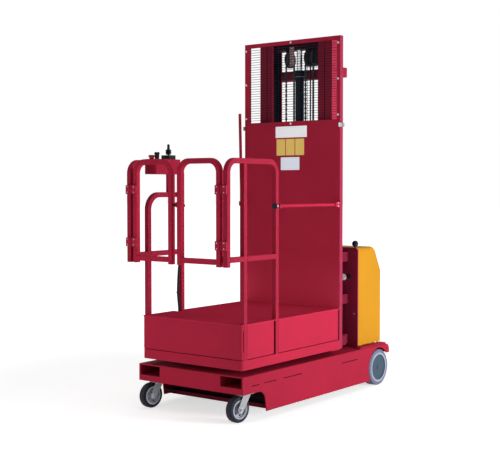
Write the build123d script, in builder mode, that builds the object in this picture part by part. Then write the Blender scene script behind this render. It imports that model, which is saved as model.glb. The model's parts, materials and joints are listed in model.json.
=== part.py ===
from build123d import *
import math
import os

# Self-propelled order picker: a driven chassis, a two-stage lift mast and an operator's platform.
# Millimetres, +Z up, floor at Z = 0. The front faces -Y. Left and right are those of a person
# who stands in front of the machine and looks at it: left is -X, right is +X.

# Overall
MACHINE_LENGTH = 1825.5
HALF_WIDTH = 412.5
FRONT_Y = -MACHINE_LENGTH / 2
REAR_Y = MACHINE_LENGTH / 2

# Rail tubes and front gates
TUBE = 32.0
TUBE_WALL = 2.0
TUBE_CORNER = 4.0
BEND = 70.0
RAIL_TOP = 1549.0
RAIL_HALF = 394.0
RAIL_X = RAIL_HALF - TUBE / 2
GATE_BOTTOM = 922.0
GATE_BAR_Z = 950.0
GATE_OUTER = 342.0
GATE_INNER = {-1: 26.0, 1: 12.0}
BARREL_R = 5.5
BARREL_AHEAD = 6.0
GATE_Y = FRONT_Y + BARREL_R + BARREL_AHEAD
GATE_MID_Y = GATE_Y + TUBE / 2
HINGE_X = (RAIL_HALF - TUBE + GATE_OUTER) / 2
HINGE_Y = GATE_Y - BARREL_AHEAD
HINGE_LEVELS = (1366.0, 1046.0)
HINGE_HEIGHT = 54.0
LEAF = 4.0
LEAF_PAD = 6.0
LEAF_PAD_START = 9.0
LEAF_REACH = 42.0
HINGE_PIN_R = 2.9
LATCH_Z = 1275.0
LATCH_R = 8.0
LATCH_PLAY = 0.4
LATCH_TRAVEL = 12.0

# Platform
PLATFORM_Y = GATE_Y + 152.0
GUARD_Y = PLATFORM_Y + 1034.0
DECK_TOP = 580.0
DECK = 6.0
BASE_BOTTOM = 312.0
BASE_TOP = 370.0
BASE_WALL = 5.0
BASE_FLANGE = 40.0
BASE_CORNER = 25.0
PANEL = 4.0
PANEL_INSET = 3.0
PANEL_CORNER = 12.0
PANEL_FOOT = BASE_TOP + 4.0
DECK_Y = PLATFORM_Y - 16.0
MID_POST_Y = PLATFORM_Y + 334.0
CORNER_POST_Y = PLATFORM_Y + 4.0 + TUBE / 2
SIDE_BAR_Z = 963.0
CORNER_HOOP_TOP = 1349.0
CORNER_HOOP_BEND = 95.0
STRUT_Y = PLATFORM_Y + 220.0

# Back guard and mesh
SHEET = 3.0
GUARD_FLANGE = 36.0
GUARD_TOP = 2376.0
WINDOW_X = (-345.0, 368.0)
WINDOW_BOTTOM = 1827.0
WINDOW_TOP = 2349.0
MESH = 3.0
MESH_HALF = 387.0
MESH_BOTTOM = 1812.0
MESH_TOP = 2364.0
MESH_ROWS = 31
MESH_COLUMNS = 3
WIRE = 3.0
MESH_BOLT_R = 7.0

# Entry bars
BAR_R = 10.0
BAR_X = 387.0
BAR_Z = 1267.0
BAR_PIVOT_Y = GUARD_Y - 48.0
BAR_REACH = 626.0
BAR_TAIL = 12.0
BAR_LEAN = 1.8
BAR_PIN_R = 5.0
CHEEK = 4.0
CHEEK_GAP = 0.5

# Chassis
CHASSIS_Y = PLATFORM_Y - 28.0
CHASSIS_TOP = 278.0
TOP_PLATE = 7.0
BEAM_BOTTOM = 173.0
BEAM_FACE = 8.0
BEAM_SHELF = 130.0
SIDE_PLATE = 6.0
SKIRT_BOTTOM = 45.0
NOTCH_TOP_Y = PLATFORM_Y + 180.0
NOTCH_FOOT_Y = PLATFORM_Y + 200.0
NOTCH_BEND = 65.0
REAR_LIP = 213.0
REAR_BEND = 45.0
POCKET_INNER = 240.5
POCKET_OUTER = 400.5
POCKET_BOTTOM = 209.0
POCKET_TOP = CHASSIS_TOP - TOP_PLATE
POCKET_WALL = 6.0
POCKET_LENGTH = 1000.0
PAN_Z = 60.0
PAN = 6.0

# Drive wheels
DRIVE_R = 125.0
DRIVE_WIDTH = 75.0
DRIVE_Y = PLATFORM_Y + 1518.0
HUB_R = 88.0
ARCH_R = 137.0
SHAFT_R = 15.0

# Casters
CASTER_X = 345.0
CASTER_Y = PLATFORM_Y + 61.0
CASTER_TURN = -9.0
CASTER_R = 78.0
CASTER_WIDTH = 48.0
CASTER_TRAIL = 48.0
CASTER_RIM_R = 52.0
CASTER_AXLE_R = 6.0
CASTER_RACE_Z = 164.0

# Mast
MAST_Y = GUARD_Y + 50.0
MAST_DEPTH = 110.0
MAST_REAR = MAST_Y + MAST_DEPTH
MAST_MID_Y = MAST_Y + MAST_DEPTH / 2
MAST_WALL = 8.0
MAST_HALF = 297.0
OUTER_INSIDE = 242.0
INNER_HALF = 235.0
INNER_INSIDE = 187.0
OUTER_TOP = 2372.0
INNER_BOTTOM = 285.0
INNER_TOP = 2376.0
CROSS_DEPTH = 60.0
CROSS_MEMBERS = ((2124.0, 64.0), (304.0, 65.0))
TIE_LEVELS = (304.0, 580.0, 870.0)
BULKHEAD_Y = PLATFORM_Y + 1336.0
BULKHEAD = 8.0

# Lift cylinder, chains and sheaves
CYLINDER_Y = MAST_MID_Y
BARREL_OD_R = 30.0
BARREL_BORE_R = 24.5
CYLINDER_TOP = 2180.0
ROD_R = 21.0
PISTON_Z = 700.0
SHEAVE_Z = 2258.0
SHEAVE_GROOVE_R = 44.0
SHEAVE_FLANGE_R = 57.0
SHEAVE_PIN_R = 10.0
SHEAVE_WIDTH = 18.0
CHAIN_X = 80.0
CHAIN_WIDTH = 14.0
CHAIN_THICK = 6.0
CHAIN_GAP = 0.3
TRAIL_CABLE_X = 122.0
TRAIL_CABLE_R = 5.0
TOP_BEAM_Z = 2320.0
LUG_TOP = 1030.0
CHAIN_END_Z = 600.0

# Power unit
HOOD_HALF = 350.0
HOOD_TOP = 966.0
HOOD_BOTTOM = 290.0
HOOD_REAR = PLATFORM_Y + 1660.0
HOOD_SLOPE_Y = PLATFORM_Y + 1570.0
HOOD_SLOPE_Z = 795.0
HOOD_SKIN = 4.0
KNOB_X = 316.0
KNOB_Y = BULKHEAD_Y + 20.0
KNOB_Z = 992.0
KNOB_R = 22.0
KNOB_STEM_R = 5.0

# Control box
BOX_LEFT = -(RAIL_HALF - TUBE)
BOX_RIGHT = BOX_LEFT + 98.0
BOX_FRONT = PLATFORM_Y - 26.0
BOX_REAR = PLATFORM_Y + 200.0
BOX_BOTTOM = 1461.0
BOX_TOP = 1555.0
BOX_SKIN = 3.0
STICK_X = -313.0
STICK_Y = PLATFORM_Y + 140.0
STICK_Z = 1568.0
STICK_BALL_R = 16.0
STOP_X = -340.0
KEY_X = -295.0
BUTTON_Y = PLATFORM_Y + 14.0
STOP_STEM_R = 15.0
KEY_R = 14.0
CABLE_R = 8.0
CABLE_X = -300.0
CABLE_EXIT_Z = 1488.0

# Running fit of round pairs, and how far a cutting tool passes beyond what it cuts
RUNNING = 0.06
THROUGH = 1.0

SIDES = (-1, 1)
SIDE_NAMES = {-1: "left", 1: "right"}

os.makedirs("parts", exist_ok=True)


def keep(part, name):
    """Label a finished piece and write its file."""
    part.label = name
    export_step(part, f"parts/{name}.step")


def block(x, y, z, mode=Mode.ADD):
    """Straight-sided block between the limits given along each axis."""
    limits = (sorted(x), sorted(y), sorted(z))
    middle = tuple((low + high) / 2 for low, high in limits)
    with Locations(middle):
        Box(*[high - low for low, high in limits], mode=mode)


def rod(centre, radius, length, axis="Z", mode=Mode.ADD):
    """Round bar centred on a point and lying along one of the machine's axes."""
    turn = {"X": (0, 90, 0), "Y": (90, 0, 0), "Z": (0, 0, 0)}[axis]
    with Locations(centre):
        Cylinder(radius, length, rotation=turn, mode=mode)


def rail(points, across, radius=BEND):
    """Square rail tube, open at its ends, along a straight or bent line of points."""
    with BuildLine() as line:
        if len(points) == 2:
            Line(*points)
        else:
            FilletPolyline(*points, radius=radius)
    path = line.wire()
    bore = TUBE - 2 * TUBE_WALL
    with BuildSketch(Plane(origin=path @ 0, x_dir=across, z_dir=path % 0)) as section:
        RectangleRounded(TUBE, TUBE, TUBE_CORNER)
        RectangleRounded(bore, bore, TUBE_CORNER - TUBE_WALL, mode=Mode.SUBTRACT)
    sweep(section.sketch, path=path)


# Chassis: front beam with the mouths of the fork pockets
with BuildPart() as front_beam:
    block((-HALF_WIDTH, HALF_WIDTH), (CHASSIS_Y, CHASSIS_Y + BEAM_FACE), (BEAM_BOTTOM, CHASSIS_TOP))
    block(
        (SIDE_PLATE - HALF_WIDTH, HALF_WIDTH - SIDE_PLATE),
        (CHASSIS_Y, CHASSIS_Y + BEAM_SHELF),
        (BEAM_BOTTOM, BEAM_BOTTOM + BEAM_FACE),
    )
    for side in SIDES:
        block(
            (side * POCKET_INNER, side * POCKET_OUTER),
            (CHASSIS_Y - THROUGH, CHASSIS_Y + BEAM_FACE + THROUGH),
            (POCKET_BOTTOM, POCKET_TOP),
            mode=Mode.SUBTRACT,
        )
keep(front_beam.part, "front_beam")


# Side plates: caster notch in front, arch over the drive wheel, weld slots along the seam
SEAM_Z = 215.0
SEAM_HEIGHT = 5.0
SEAM_DEPTH = 4.0
SEAM_SLOTS = ((53.0, 126.0), (176.0, 300.0), (370.0, 569.0), (1035.0, 1231.0))
for side in SIDES:
    inner_face = HALF_WIDTH - SIDE_PLATE if side > 0 else -HALF_WIDTH
    with BuildPart() as side_plate:
        with BuildSketch(Plane.YZ.offset(inner_face)) as outline:
            with BuildLine():
                Polyline(
                    (CHASSIS_Y + BEAM_FACE, BEAM_BOTTOM),
                    (CHASSIS_Y + BEAM_FACE, CHASSIS_TOP),
                    (REAR_Y, CHASSIS_TOP),
                    (REAR_Y, REAR_LIP),
                    (DRIVE_Y, REAR_LIP),
                    (DRIVE_Y, SKIRT_BOTTOM),
                    (NOTCH_FOOT_Y, SKIRT_BOTTOM),
                    (NOTCH_TOP_Y, BEAM_BOTTOM),
                    close=True,
                )
            make_face()
            rear_corner = outline.vertices().sort_by_distance((REAR_Y, CHASSIS_TOP))[0]
            fillet(rear_corner, REAR_BEND)
            notch_corner = outline.vertices().sort_by_distance((NOTCH_TOP_Y, BEAM_BOTTOM))[0]
            fillet(notch_corner, NOTCH_BEND)
            with Locations((DRIVE_Y, DRIVE_R)):
                Circle(ARCH_R, mode=Mode.SUBTRACT)
        extrude(amount=SIDE_PLATE)
        for start, end in SEAM_SLOTS:
            block(
                (side * HALF_WIDTH, side * (HALF_WIDTH - SEAM_DEPTH)),
                (PLATFORM_Y + start, PLATFORM_Y + end),
                (SEAM_Z, SEAM_Z + SEAM_HEIGHT),
                mode=Mode.SUBTRACT,
            )
    keep(side_plate.part, f"side_plate_{SIDE_NAMES[side]}")


# Fork pockets: two long troughs under the top plate, whose open ends take a lift truck's forks
with BuildPart() as fork_pockets:
    pocket_start = CHASSIS_Y + BEAM_FACE
    for side in SIDES:
        block(
            (side * (POCKET_INNER - POCKET_WALL), side * (POCKET_OUTER + POCKET_WALL)),
            (pocket_start, pocket_start + POCKET_LENGTH),
            (POCKET_BOTTOM - POCKET_WALL, POCKET_TOP),
        )
        block(
            (side * POCKET_INNER, side * POCKET_OUTER),
            (pocket_start, pocket_start + POCKET_LENGTH),
            (POCKET_BOTTOM, POCKET_TOP),
            mode=Mode.SUBTRACT,
        )
keep(fork_pockets.part, "fork_pockets")


# Top plate, bent down over the rear end
with BuildPart() as chassis_plate:
    with BuildSketch(Plane.YZ.offset(SIDE_PLATE - HALF_WIDTH)) as bent:
        with BuildLine():
            Polyline(
                (CHASSIS_Y + BEAM_FACE, CHASSIS_TOP),
                (REAR_Y, CHASSIS_TOP),
                (REAR_Y, REAR_LIP),
                (REAR_Y - TOP_PLATE, REAR_LIP),
                (REAR_Y - TOP_PLATE, CHASSIS_TOP - TOP_PLATE),
                (CHASSIS_Y + BEAM_FACE, CHASSIS_TOP - TOP_PLATE),
                close=True,
            )
        make_face()
        fillet(bent.vertices().sort_by_distance((REAR_Y, CHASSIS_TOP))[0], REAR_BEND)
        inside = (REAR_Y - TOP_PLATE, CHASSIS_TOP - TOP_PLATE)
        fillet(bent.vertices().sort_by_distance(inside)[0], REAR_BEND - TOP_PLATE)
    extrude(amount=2 * (HALF_WIDTH - SIDE_PLATE))
keep(chassis_plate.part, "chassis_plate")


# Floor pan: front lip with a rib above it, and an upright plate set back between the side plates
PAN_END_Y = PLATFORM_Y + 1360.0
PAN_HALF = HALF_WIDTH - SIDE_PLATE
LIP = 24.0
RIB_Z = 118.0
RIB = 7.0
PLATE_BACK = 90.0
with BuildPart() as floor_pan:
    block((-PAN_HALF, PAN_HALF), (NOTCH_FOOT_Y, PAN_END_Y), (PAN_Z, PAN_Z + PAN))
    block((-PAN_HALF, PAN_HALF), (NOTCH_FOOT_Y, NOTCH_FOOT_Y + PAN), (PAN_Z, PAN_Z + LIP))
    block((-PAN_HALF, PAN_HALF), (NOTCH_FOOT_Y, NOTCH_FOOT_Y + RIB), (RIB_Z, RIB_Z + RIB))
    plate_y = NOTCH_FOOT_Y + PLATE_BACK
    block((-PAN_HALF, PAN_HALF), (plate_y, plate_y + PAN), (PAN_Z, BEAM_BOTTOM))
keep(floor_pan.part, "floor_pan")


# Mast: two fixed channels, open towards the middle
with BuildPart() as mast_uprights:
    for side in SIDES:
        block((side * OUTER_INSIDE, side * MAST_HALF), (MAST_Y, MAST_REAR), (CHASSIS_TOP, OUTER_TOP))
        block(
            (side * OUTER_INSIDE, side * (MAST_HALF - MAST_WALL)),
            (MAST_Y + MAST_WALL, MAST_REAR - MAST_WALL),
            (CHASSIS_TOP, OUTER_TOP),
            mode=Mode.SUBTRACT,
        )
keep(mast_uprights.part, "mast_uprights")


# Mast cross members behind the channels, the ties to the bulkhead, and the plate with the chain lugs
CROSS_REACH = MAST_HALF + 12.0
CROSS_WALL = 6.0
TIE_INNER = 235.0
TIE_OUTER = 275.0
TIE_HEIGHT = 65.0
LUG_HEIGHT = 45.0
LUG_HALF = 10.0
LUG_DEPTH = 20.0
LUG_PLATE = 12.0
LUG_PLATE_HALF = 285.0
LUG_PLATE_HEIGHT = 65.0
with BuildPart() as mast_crossbars:
    for level, height in CROSS_MEMBERS:
        block(
            (-CROSS_REACH, CROSS_REACH),
            (MAST_REAR, MAST_REAR + CROSS_DEPTH),
            (level, level + height),
        )
        block(
            (CROSS_WALL - CROSS_REACH, CROSS_REACH - CROSS_WALL),
            (MAST_REAR + CROSS_WALL, MAST_REAR + CROSS_DEPTH - CROSS_WALL),
            (level + CROSS_WALL, level + height - CROSS_WALL),
            mode=Mode.SUBTRACT,
        )
    for level in TIE_LEVELS:
        beside_member = any(level == low for low, height in CROSS_MEMBERS)
        tie_start = MAST_REAR + CROSS_DEPTH if beside_member else MAST_REAR
        for side in SIDES:
            block(
                (side * TIE_INNER, side * TIE_OUTER),
                (tie_start, BULKHEAD_Y),
                (level, level + TIE_HEIGHT),
            )
    block(
        (-LUG_PLATE_HALF, LUG_PLATE_HALF),
        (MAST_REAR, MAST_REAR + LUG_PLATE),
        (LUG_TOP - LUG_PLATE_HEIGHT, LUG_TOP),
    )
    for lug_x in (-CHAIN_X, CHAIN_X, TRAIL_CABLE_X):
        block(
            (lug_x - LUG_HALF, lug_x + LUG_HALF),
            (MAST_REAR - LUG_DEPTH, MAST_REAR),
            (LUG_TOP - LUG_HEIGHT, LUG_TOP),
        )
keep(mast_crossbars.part, "mast_crossbars")


# Bulkhead between the mast and the power unit
BULKHEAD_CORNER = 28.0
FILLER_X = 238.0
FILLER_Z = 760.0
NECK_R = 15.0
NECK_PLAY = 1.0
with BuildPart() as bulkhead:
    with BuildSketch(Plane.XZ.offset(-BULKHEAD_Y)) as shape:
        with Locations((0, (CHASSIS_TOP + HOOD_TOP) / 2)):
            Rectangle(2 * HOOD_HALF, HOOD_TOP - CHASSIS_TOP)
        fillet(shape.vertices().group_by(Axis.Y)[-1], BULKHEAD_CORNER)
        with Locations((FILLER_X, FILLER_Z)):
            Circle(NECK_R + NECK_PLAY, mode=Mode.SUBTRACT)
    extrude(amount=-BULKHEAD)
keep(bulkhead.part, "bulkhead")


# Hood: thin shell over the power unit, open towards the bulkhead and underneath
HOOD_EDGE = 26.0
HOOD_TOP_BEND = 70.0
HOOD_REAR_BEND = 40.0
HOOD_FOOT = 20.0
HOOD_START = BULKHEAD_Y + BULKHEAD
HOOD_FEET = (30.0, 150.0, 250.0)
FOOT_LAP = 2.0
with BuildPart() as hood:
    with BuildSketch(Plane.YZ.offset(-HOOD_HALF)) as profile:
        with BuildLine():
            Polyline(
                (HOOD_START, HOOD_BOTTOM),
                (HOOD_START, HOOD_TOP),
                (HOOD_SLOPE_Y, HOOD_TOP),
                (HOOD_REAR, HOOD_SLOPE_Z),
                (HOOD_REAR, HOOD_BOTTOM),
                close=True,
            )
        make_face()
        top_corner = profile.vertices().sort_by_distance((HOOD_SLOPE_Y, HOOD_TOP))[0]
        fillet(top_corner, HOOD_TOP_BEND)
        rear_corner = profile.vertices().sort_by_distance((HOOD_REAR, HOOD_SLOPE_Z))[0]
        fillet(rear_corner, HOOD_REAR_BEND)
    extrude(amount=2 * HOOD_HALF)
    sides = hood.faces().filter_by(Axis.X)
    outer_edges = ShapeList(
        edge
        for face in sides
        for edge in face.edges()
        if edge.center().Z > HOOD_BOTTOM + 1 and edge.center().Y > HOOD_START + 1
    )
    fillet(outer_edges, HOOD_EDGE)
    front_face = hood.faces().sort_by(Axis.Y)[0]
    bottom_face = hood.faces().sort_by(Axis.Z)[0]
    offset(amount=-HOOD_SKIN, openings=[front_face, bottom_face])
    for side in SIDES:
        for start in HOOD_FEET:
            block(
                (side * (HOOD_HALF - HOOD_SKIN), side * HOOD_HALF),
                (HOOD_START + start, HOOD_START + start + HOOD_FOOT),
                (CHASSIS_TOP, HOOD_BOTTOM + FOOT_LAP),
            )
    rod((KNOB_X, KNOB_Y, HOOD_TOP), KNOB_STEM_R + RUNNING, 4 * HOOD_SKIN, mode=Mode.SUBTRACT)
keep(hood.part, "hood")


# Traction battery with its two terminals
BATTERY_X = (-320.0, -30.0)
BATTERY_Y = (HOOD_START + 20.0, HOOD_START + 250.0)
BATTERY_TOP = CHASSIS_TOP + 240.0
BATTERY_EDGE = 8.0
TERMINAL_Y = HOOD_START + 60.0
TERMINAL_R = 9.0
TERMINAL_HEIGHT = 18.0
TERMINAL_INSET = 30.0
with BuildPart() as battery:
    block(BATTERY_X, BATTERY_Y, (CHASSIS_TOP, BATTERY_TOP))
    fillet(battery.edges().filter_by(Axis.Z), BATTERY_EDGE)
    for terminal_x in (BATTERY_X[0] + TERMINAL_INSET, BATTERY_X[1] - TERMINAL_INSET):
        rod((terminal_x, TERMINAL_Y, BATTERY_TOP + TERMINAL_HEIGHT / 2), TERMINAL_R, TERMINAL_HEIGHT)
keep(battery.part, "battery")


# Hydraulic unit: pump motor on its foot, and the oil tank with its filler neck and cap
PUMP_X = 210.0
PUMP_Y = HOOD_START + 125.0
PUMP_Z = CHASSIS_TOP + 125.0
PUMP_R = 75.0
PUMP_LENGTH = 220.0
PUMP_FOOT = (90.0, 65.0, 60.0)
TANK_X = (110.0, 310.0)
TANK_Y = (HOOD_START, HOOD_START + 150.0)
TANK_Z = (600.0, 880.0)
TANK_WALL = 4.0
NECK_LENGTH = 20.0
CAP_R = 20.0
CAP = 15.0
CAP_AHEAD = 8.0
with BuildPart() as hydraulic_unit:
    block(
        (PUMP_X - PUMP_FOOT[0], PUMP_X + PUMP_FOOT[0]),
        (PUMP_Y - PUMP_FOOT[1], PUMP_Y + PUMP_FOOT[1]),
        (CHASSIS_TOP, CHASSIS_TOP + PUMP_FOOT[2]),
    )
    rod((PUMP_X, PUMP_Y, PUMP_Z), PUMP_R, PUMP_LENGTH, axis="X")
    block(TANK_X, TANK_Y, TANK_Z)
    tank_hollow = [(low + TANK_WALL, high - TANK_WALL) for low, high in (TANK_X, TANK_Y, TANK_Z)]
    block(*tank_hollow, mode=Mode.SUBTRACT)
    rod((FILLER_X, BULKHEAD_Y, FILLER_Z), NECK_R, NECK_LENGTH, axis="Y")
    rod((FILLER_X, BULKHEAD_Y - CAP_AHEAD, FILLER_Z), CAP_R, CAP, axis="Y")
keep(hydraulic_unit.part, "hydraulic_unit")


# Lift cylinder: barrel with its foot and gland
GLAND = 45.0
GLAND_PROUD = 4.0
BARREL_FOOT = (55.0, 32.0, 14.0)
BARREL_FLOOR = 30.0
with BuildPart() as lift_cylinder:
    rod((0, CYLINDER_Y, (CHASSIS_TOP + CYLINDER_TOP) / 2), BARREL_OD_R, CYLINDER_TOP - CHASSIS_TOP)
    rod((0, CYLINDER_Y, CYLINDER_TOP - GLAND / 2), BARREL_OD_R + GLAND_PROUD, GLAND)
    block(
        (-BARREL_FOOT[0], BARREL_FOOT[0]),
        (CYLINDER_Y - BARREL_FOOT[1], CYLINDER_Y + BARREL_FOOT[1]),
        (CHASSIS_TOP, CHASSIS_TOP + BARREL_FOOT[2]),
    )
    bore_low = CHASSIS_TOP + BARREL_FLOOR
    bore_high = CYLINDER_TOP - GLAND
    rod(
        (0, CYLINDER_Y, (bore_low + bore_high) / 2),
        BARREL_BORE_R,
        bore_high - bore_low,
        mode=Mode.SUBTRACT,
    )
    rod((0, CYLINDER_Y, CYLINDER_TOP), ROD_R + RUNNING, 3 * GLAND, mode=Mode.SUBTRACT)
keep(lift_cylinder.part, "lift_cylinder")


# Drive motors: one gear motor and its hanger plate on each side
DRIVE_INNER = HALF_WIDTH - DRIVE_WIDTH
HANGER = (DRIVE_INNER - 20.0, DRIVE_INNER - 8.0)
HANGER_HALF = 65.0
GEARBOX_R = 55.0
GEARBOX = 80.0
MOTOR_R = 45.0
MOTOR_X = 170.0
MOTOR = 160.0
SHAFT_END = DRIVE_INNER - 42.0
SHAFT_HOLE = 100.0
SHAFT_END_PLAY = 1.0
with BuildPart() as drive_motors:
    for side in SIDES:
        block(
            (side * HANGER[0], side * HANGER[1]),
            (DRIVE_Y - HANGER_HALF, DRIVE_Y + HANGER_HALF),
            (DRIVE_R - GEARBOX_R, CHASSIS_TOP - TOP_PLATE),
        )
        rod((side * (HANGER[1] - GEARBOX / 2), DRIVE_Y, DRIVE_R), GEARBOX_R, GEARBOX, axis="X")
        rod((side * MOTOR_X, DRIVE_Y, DRIVE_R), MOTOR_R, MOTOR, axis="X")
        rod(
            (side * (SHAFT_END - SHAFT_END_PLAY + SHAFT_HOLE / 2), DRIVE_Y, DRIVE_R),
            SHAFT_R + RUNNING,
            SHAFT_HOLE,
            axis="X",
            mode=Mode.SUBTRACT,
        )
keep(drive_motors.part, "drive_motors")


# Drive wheels: tyre, and the dished hub with its stub shaft in the gear motor
TYRE_EDGE = 10.0
HUB_FACE = HALF_WIDTH - 4.0
HUB_WIDTH = DRIVE_WIDTH - 6.0
HUB_DISH = DRIVE_WIDTH - 30.0
HUB_RIM = 12.0
BOSS_R = 30.0
BOSS_START = DRIVE_INNER + 0.6
for side in SIDES:
    with BuildPart() as tyre:
        with BuildSketch(Plane.XY.offset(DRIVE_R)) as section:
            with BuildLine():
                Polyline(
                    (side * DRIVE_INNER, DRIVE_Y + HUB_R),
                    (side * HALF_WIDTH, DRIVE_Y + HUB_R),
                    (side * HALF_WIDTH, DRIVE_Y + DRIVE_R),
                    (side * DRIVE_INNER, DRIVE_Y + DRIVE_R),
                    close=True,
                )
            make_face()
            fillet(section.vertices().group_by(Axis.Y)[-1], TYRE_EDGE)
        revolve(axis=Axis((0, DRIVE_Y, DRIVE_R), (1, 0, 0)))
    keep(tyre.part, f"drive_tyre_{SIDE_NAMES[side]}")
    with BuildPart() as hub:
        rod((side * (HUB_FACE - HUB_WIDTH / 2), DRIVE_Y, DRIVE_R), HUB_R, HUB_WIDTH, axis="X")
        rod(
            (side * (DRIVE_INNER + HUB_DISH / 2), DRIVE_Y, DRIVE_R),
            HUB_R - HUB_RIM,
            HUB_DISH,
            axis="X",
            mode=Mode.SUBTRACT,
        )
        rod((side * (BOSS_START + HUB_DISH / 2), DRIVE_Y, DRIVE_R), BOSS_R, HUB_DISH, axis="X")
        shaft = DRIVE_INNER + HUB_DISH - SHAFT_END
        rod((side * (SHAFT_END + shaft / 2), DRIVE_Y, DRIVE_R), SHAFT_R, shaft, axis="X")
    keep(hub.part, f"drive_hub_{SIDE_NAMES[side]}")


# Caster top plates with the fixed half of the swivel race and their bolts
PLATE_HALF = (52.0, 42.0)
CASTER_PLATE = 6.0
RACE_R = 36.0
KINGPIN_R = 6.0
KINGPIN = 8.0
KINGPIN_PLAY = 2.0
PLATE_BOLT_R = 7.0
PLATE_BOLT = 2.5
PLATE_BOLT_STEP = (80.0, 60.0)
with BuildPart() as caster_plates:
    plate_low = BEAM_BOTTOM - CASTER_PLATE
    race = plate_low - CASTER_RACE_Z
    for side in SIDES:
        centre = (side * CASTER_X, CASTER_Y)
        block(
            (centre[0] - PLATE_HALF[0], centre[0] + PLATE_HALF[0]),
            (centre[1] - PLATE_HALF[1], centre[1] + PLATE_HALF[1]),
            (plate_low, BEAM_BOTTOM),
        )
        rod((*centre, CASTER_RACE_Z + race / 2), RACE_R, race)
        pin_hole = 2 * (KINGPIN + KINGPIN_PLAY)
        rod((*centre, CASTER_RACE_Z), KINGPIN_R + RUNNING, pin_hole, mode=Mode.SUBTRACT)
        with Locations((*centre, plate_low - PLATE_BOLT / 2)):
            with GridLocations(*PLATE_BOLT_STEP, 2, 2):
                Cylinder(PLATE_BOLT_R, PLATE_BOLT)
keep(caster_plates.part, "caster_plates")


# Casters, drawn with the swivel axis on the Z axis and the wheel trailing towards -Y
CROWN = 6.0
CROWN_R = RACE_R + 2.0
CROWN_TOP = CASTER_RACE_Z - 0.3
LEG_INNER = CASTER_WIDTH / 2 + 4.0
LEG = 4.0
LEG_TOP = 56.0
LEG_END_R = 22.0
NUT_R = 10.0
NUT = 8.0
wheel_centre = (0, -CASTER_TRAIL, CASTER_R)
with BuildPart() as fork:
    rod((0, 0, CROWN_TOP - CROWN / 2), CROWN_R, CROWN)
    rod((0, 0, CROWN_TOP + KINGPIN / 2), KINGPIN_R, KINGPIN)
    for side in SIDES:
        leg_face = LEG_INNER if side > 0 else -LEG_INNER - LEG
        with BuildSketch(Plane.YZ.offset(leg_face)) as leg:
            with Locations((0, CROWN_TOP - CROWN / 2)):
                Rectangle(LEG_TOP, CROWN)
            with Locations((-CASTER_TRAIL, CASTER_R)):
                Circle(LEG_END_R)
            make_hull()
        extrude(amount=LEG)
        rod((side * (LEG_INNER + LEG + NUT / 2), *wheel_centre[1:]), NUT_R, NUT, axis="X")
    rod(wheel_centre, CASTER_AXLE_R, 2 * (LEG_INNER + LEG), axis="X")

SPOKE_GAPS = 5
SPOKE_GAP_R = 9.0
SPOKE_GAP_CIRCLE = 31.0
RIM_WIDTH = CASTER_WIDTH - 4.0
RIM_EDGE = 7.0
RIM_DISH = 14.0
RIM_DISH_X = RIM_WIDTH / 2 - 4.0
RIM_HUB_R = 17.0
with BuildPart() as rim:
    rod(wheel_centre, CASTER_RIM_R, RIM_WIDTH, axis="X")
    for side in SIDES:
        dish_centre = (side * RIM_DISH_X, *wheel_centre[1:])
        rod(dish_centre, CASTER_RIM_R - RIM_EDGE, RIM_DISH, "X", Mode.SUBTRACT)
    rod(wheel_centre, RIM_HUB_R, CASTER_WIDTH, axis="X")
    with BuildSketch(Plane.YZ.offset(-CASTER_WIDTH / 2)):
        with Locations((-CASTER_TRAIL, CASTER_R)):
            with PolarLocations(SPOKE_GAP_CIRCLE, SPOKE_GAPS):
                Circle(SPOKE_GAP_R)
    extrude(amount=CASTER_WIDTH, mode=Mode.SUBTRACT)
    rod(wheel_centre, CASTER_AXLE_R + RUNNING, 2 * CASTER_WIDTH, "X", Mode.SUBTRACT)

CASTER_TYRE_EDGE = 12.0
with BuildPart() as caster_tyre:
    with BuildSketch(Plane.XY.offset(CASTER_R)) as section:
        with Locations((0, (CASTER_R + CASTER_RIM_R) / 2 - CASTER_TRAIL)):
            Rectangle(CASTER_WIDTH, CASTER_R - CASTER_RIM_R)
        fillet(section.vertices().group_by(Axis.Y)[-1], CASTER_TYRE_EDGE)
    revolve(axis=Axis(wheel_centre, (1, 0, 0)))

for side in SIDES:
    place = Location((side * CASTER_X, CASTER_Y, 0), (0, 0, CASTER_TURN))
    keep(fork.part.moved(place), f"caster_fork_{SIDE_NAMES[side]}")
    keep(rim.part.moved(place), f"caster_rim_{SIDE_NAMES[side]}")
    keep(caster_tyre.part.moved(place), f"caster_tyre_{SIDE_NAMES[side]}")


# Inner mast: two channels that rise between the fixed ones, with slide pads at the foot
PAD_Z = (290.0, 370.0)
PAD_PLAY = 2.0
PAD_END_PLAY = 4.0
with BuildPart() as inner_uprights:
    for side in SIDES:
        block(
            (side * INNER_INSIDE, side * INNER_HALF),
            (MAST_Y, MAST_REAR),
            (INNER_BOTTOM, INNER_TOP),
        )
        block(
            (side * INNER_INSIDE, side * (INNER_HALF - MAST_WALL)),
            (MAST_Y + MAST_WALL, MAST_REAR - MAST_WALL),
            (INNER_BOTTOM, INNER_TOP),
            mode=Mode.SUBTRACT,
        )
        block(
            (side * INNER_HALF, side * (MAST_HALF - MAST_WALL - PAD_END_PLAY)),
            (MAST_Y + MAST_WALL + PAD_PLAY, MAST_REAR - MAST_WALL - PAD_PLAY),
            PAD_Z,
        )
keep(inner_uprights.part, "inner_uprights")


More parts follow.
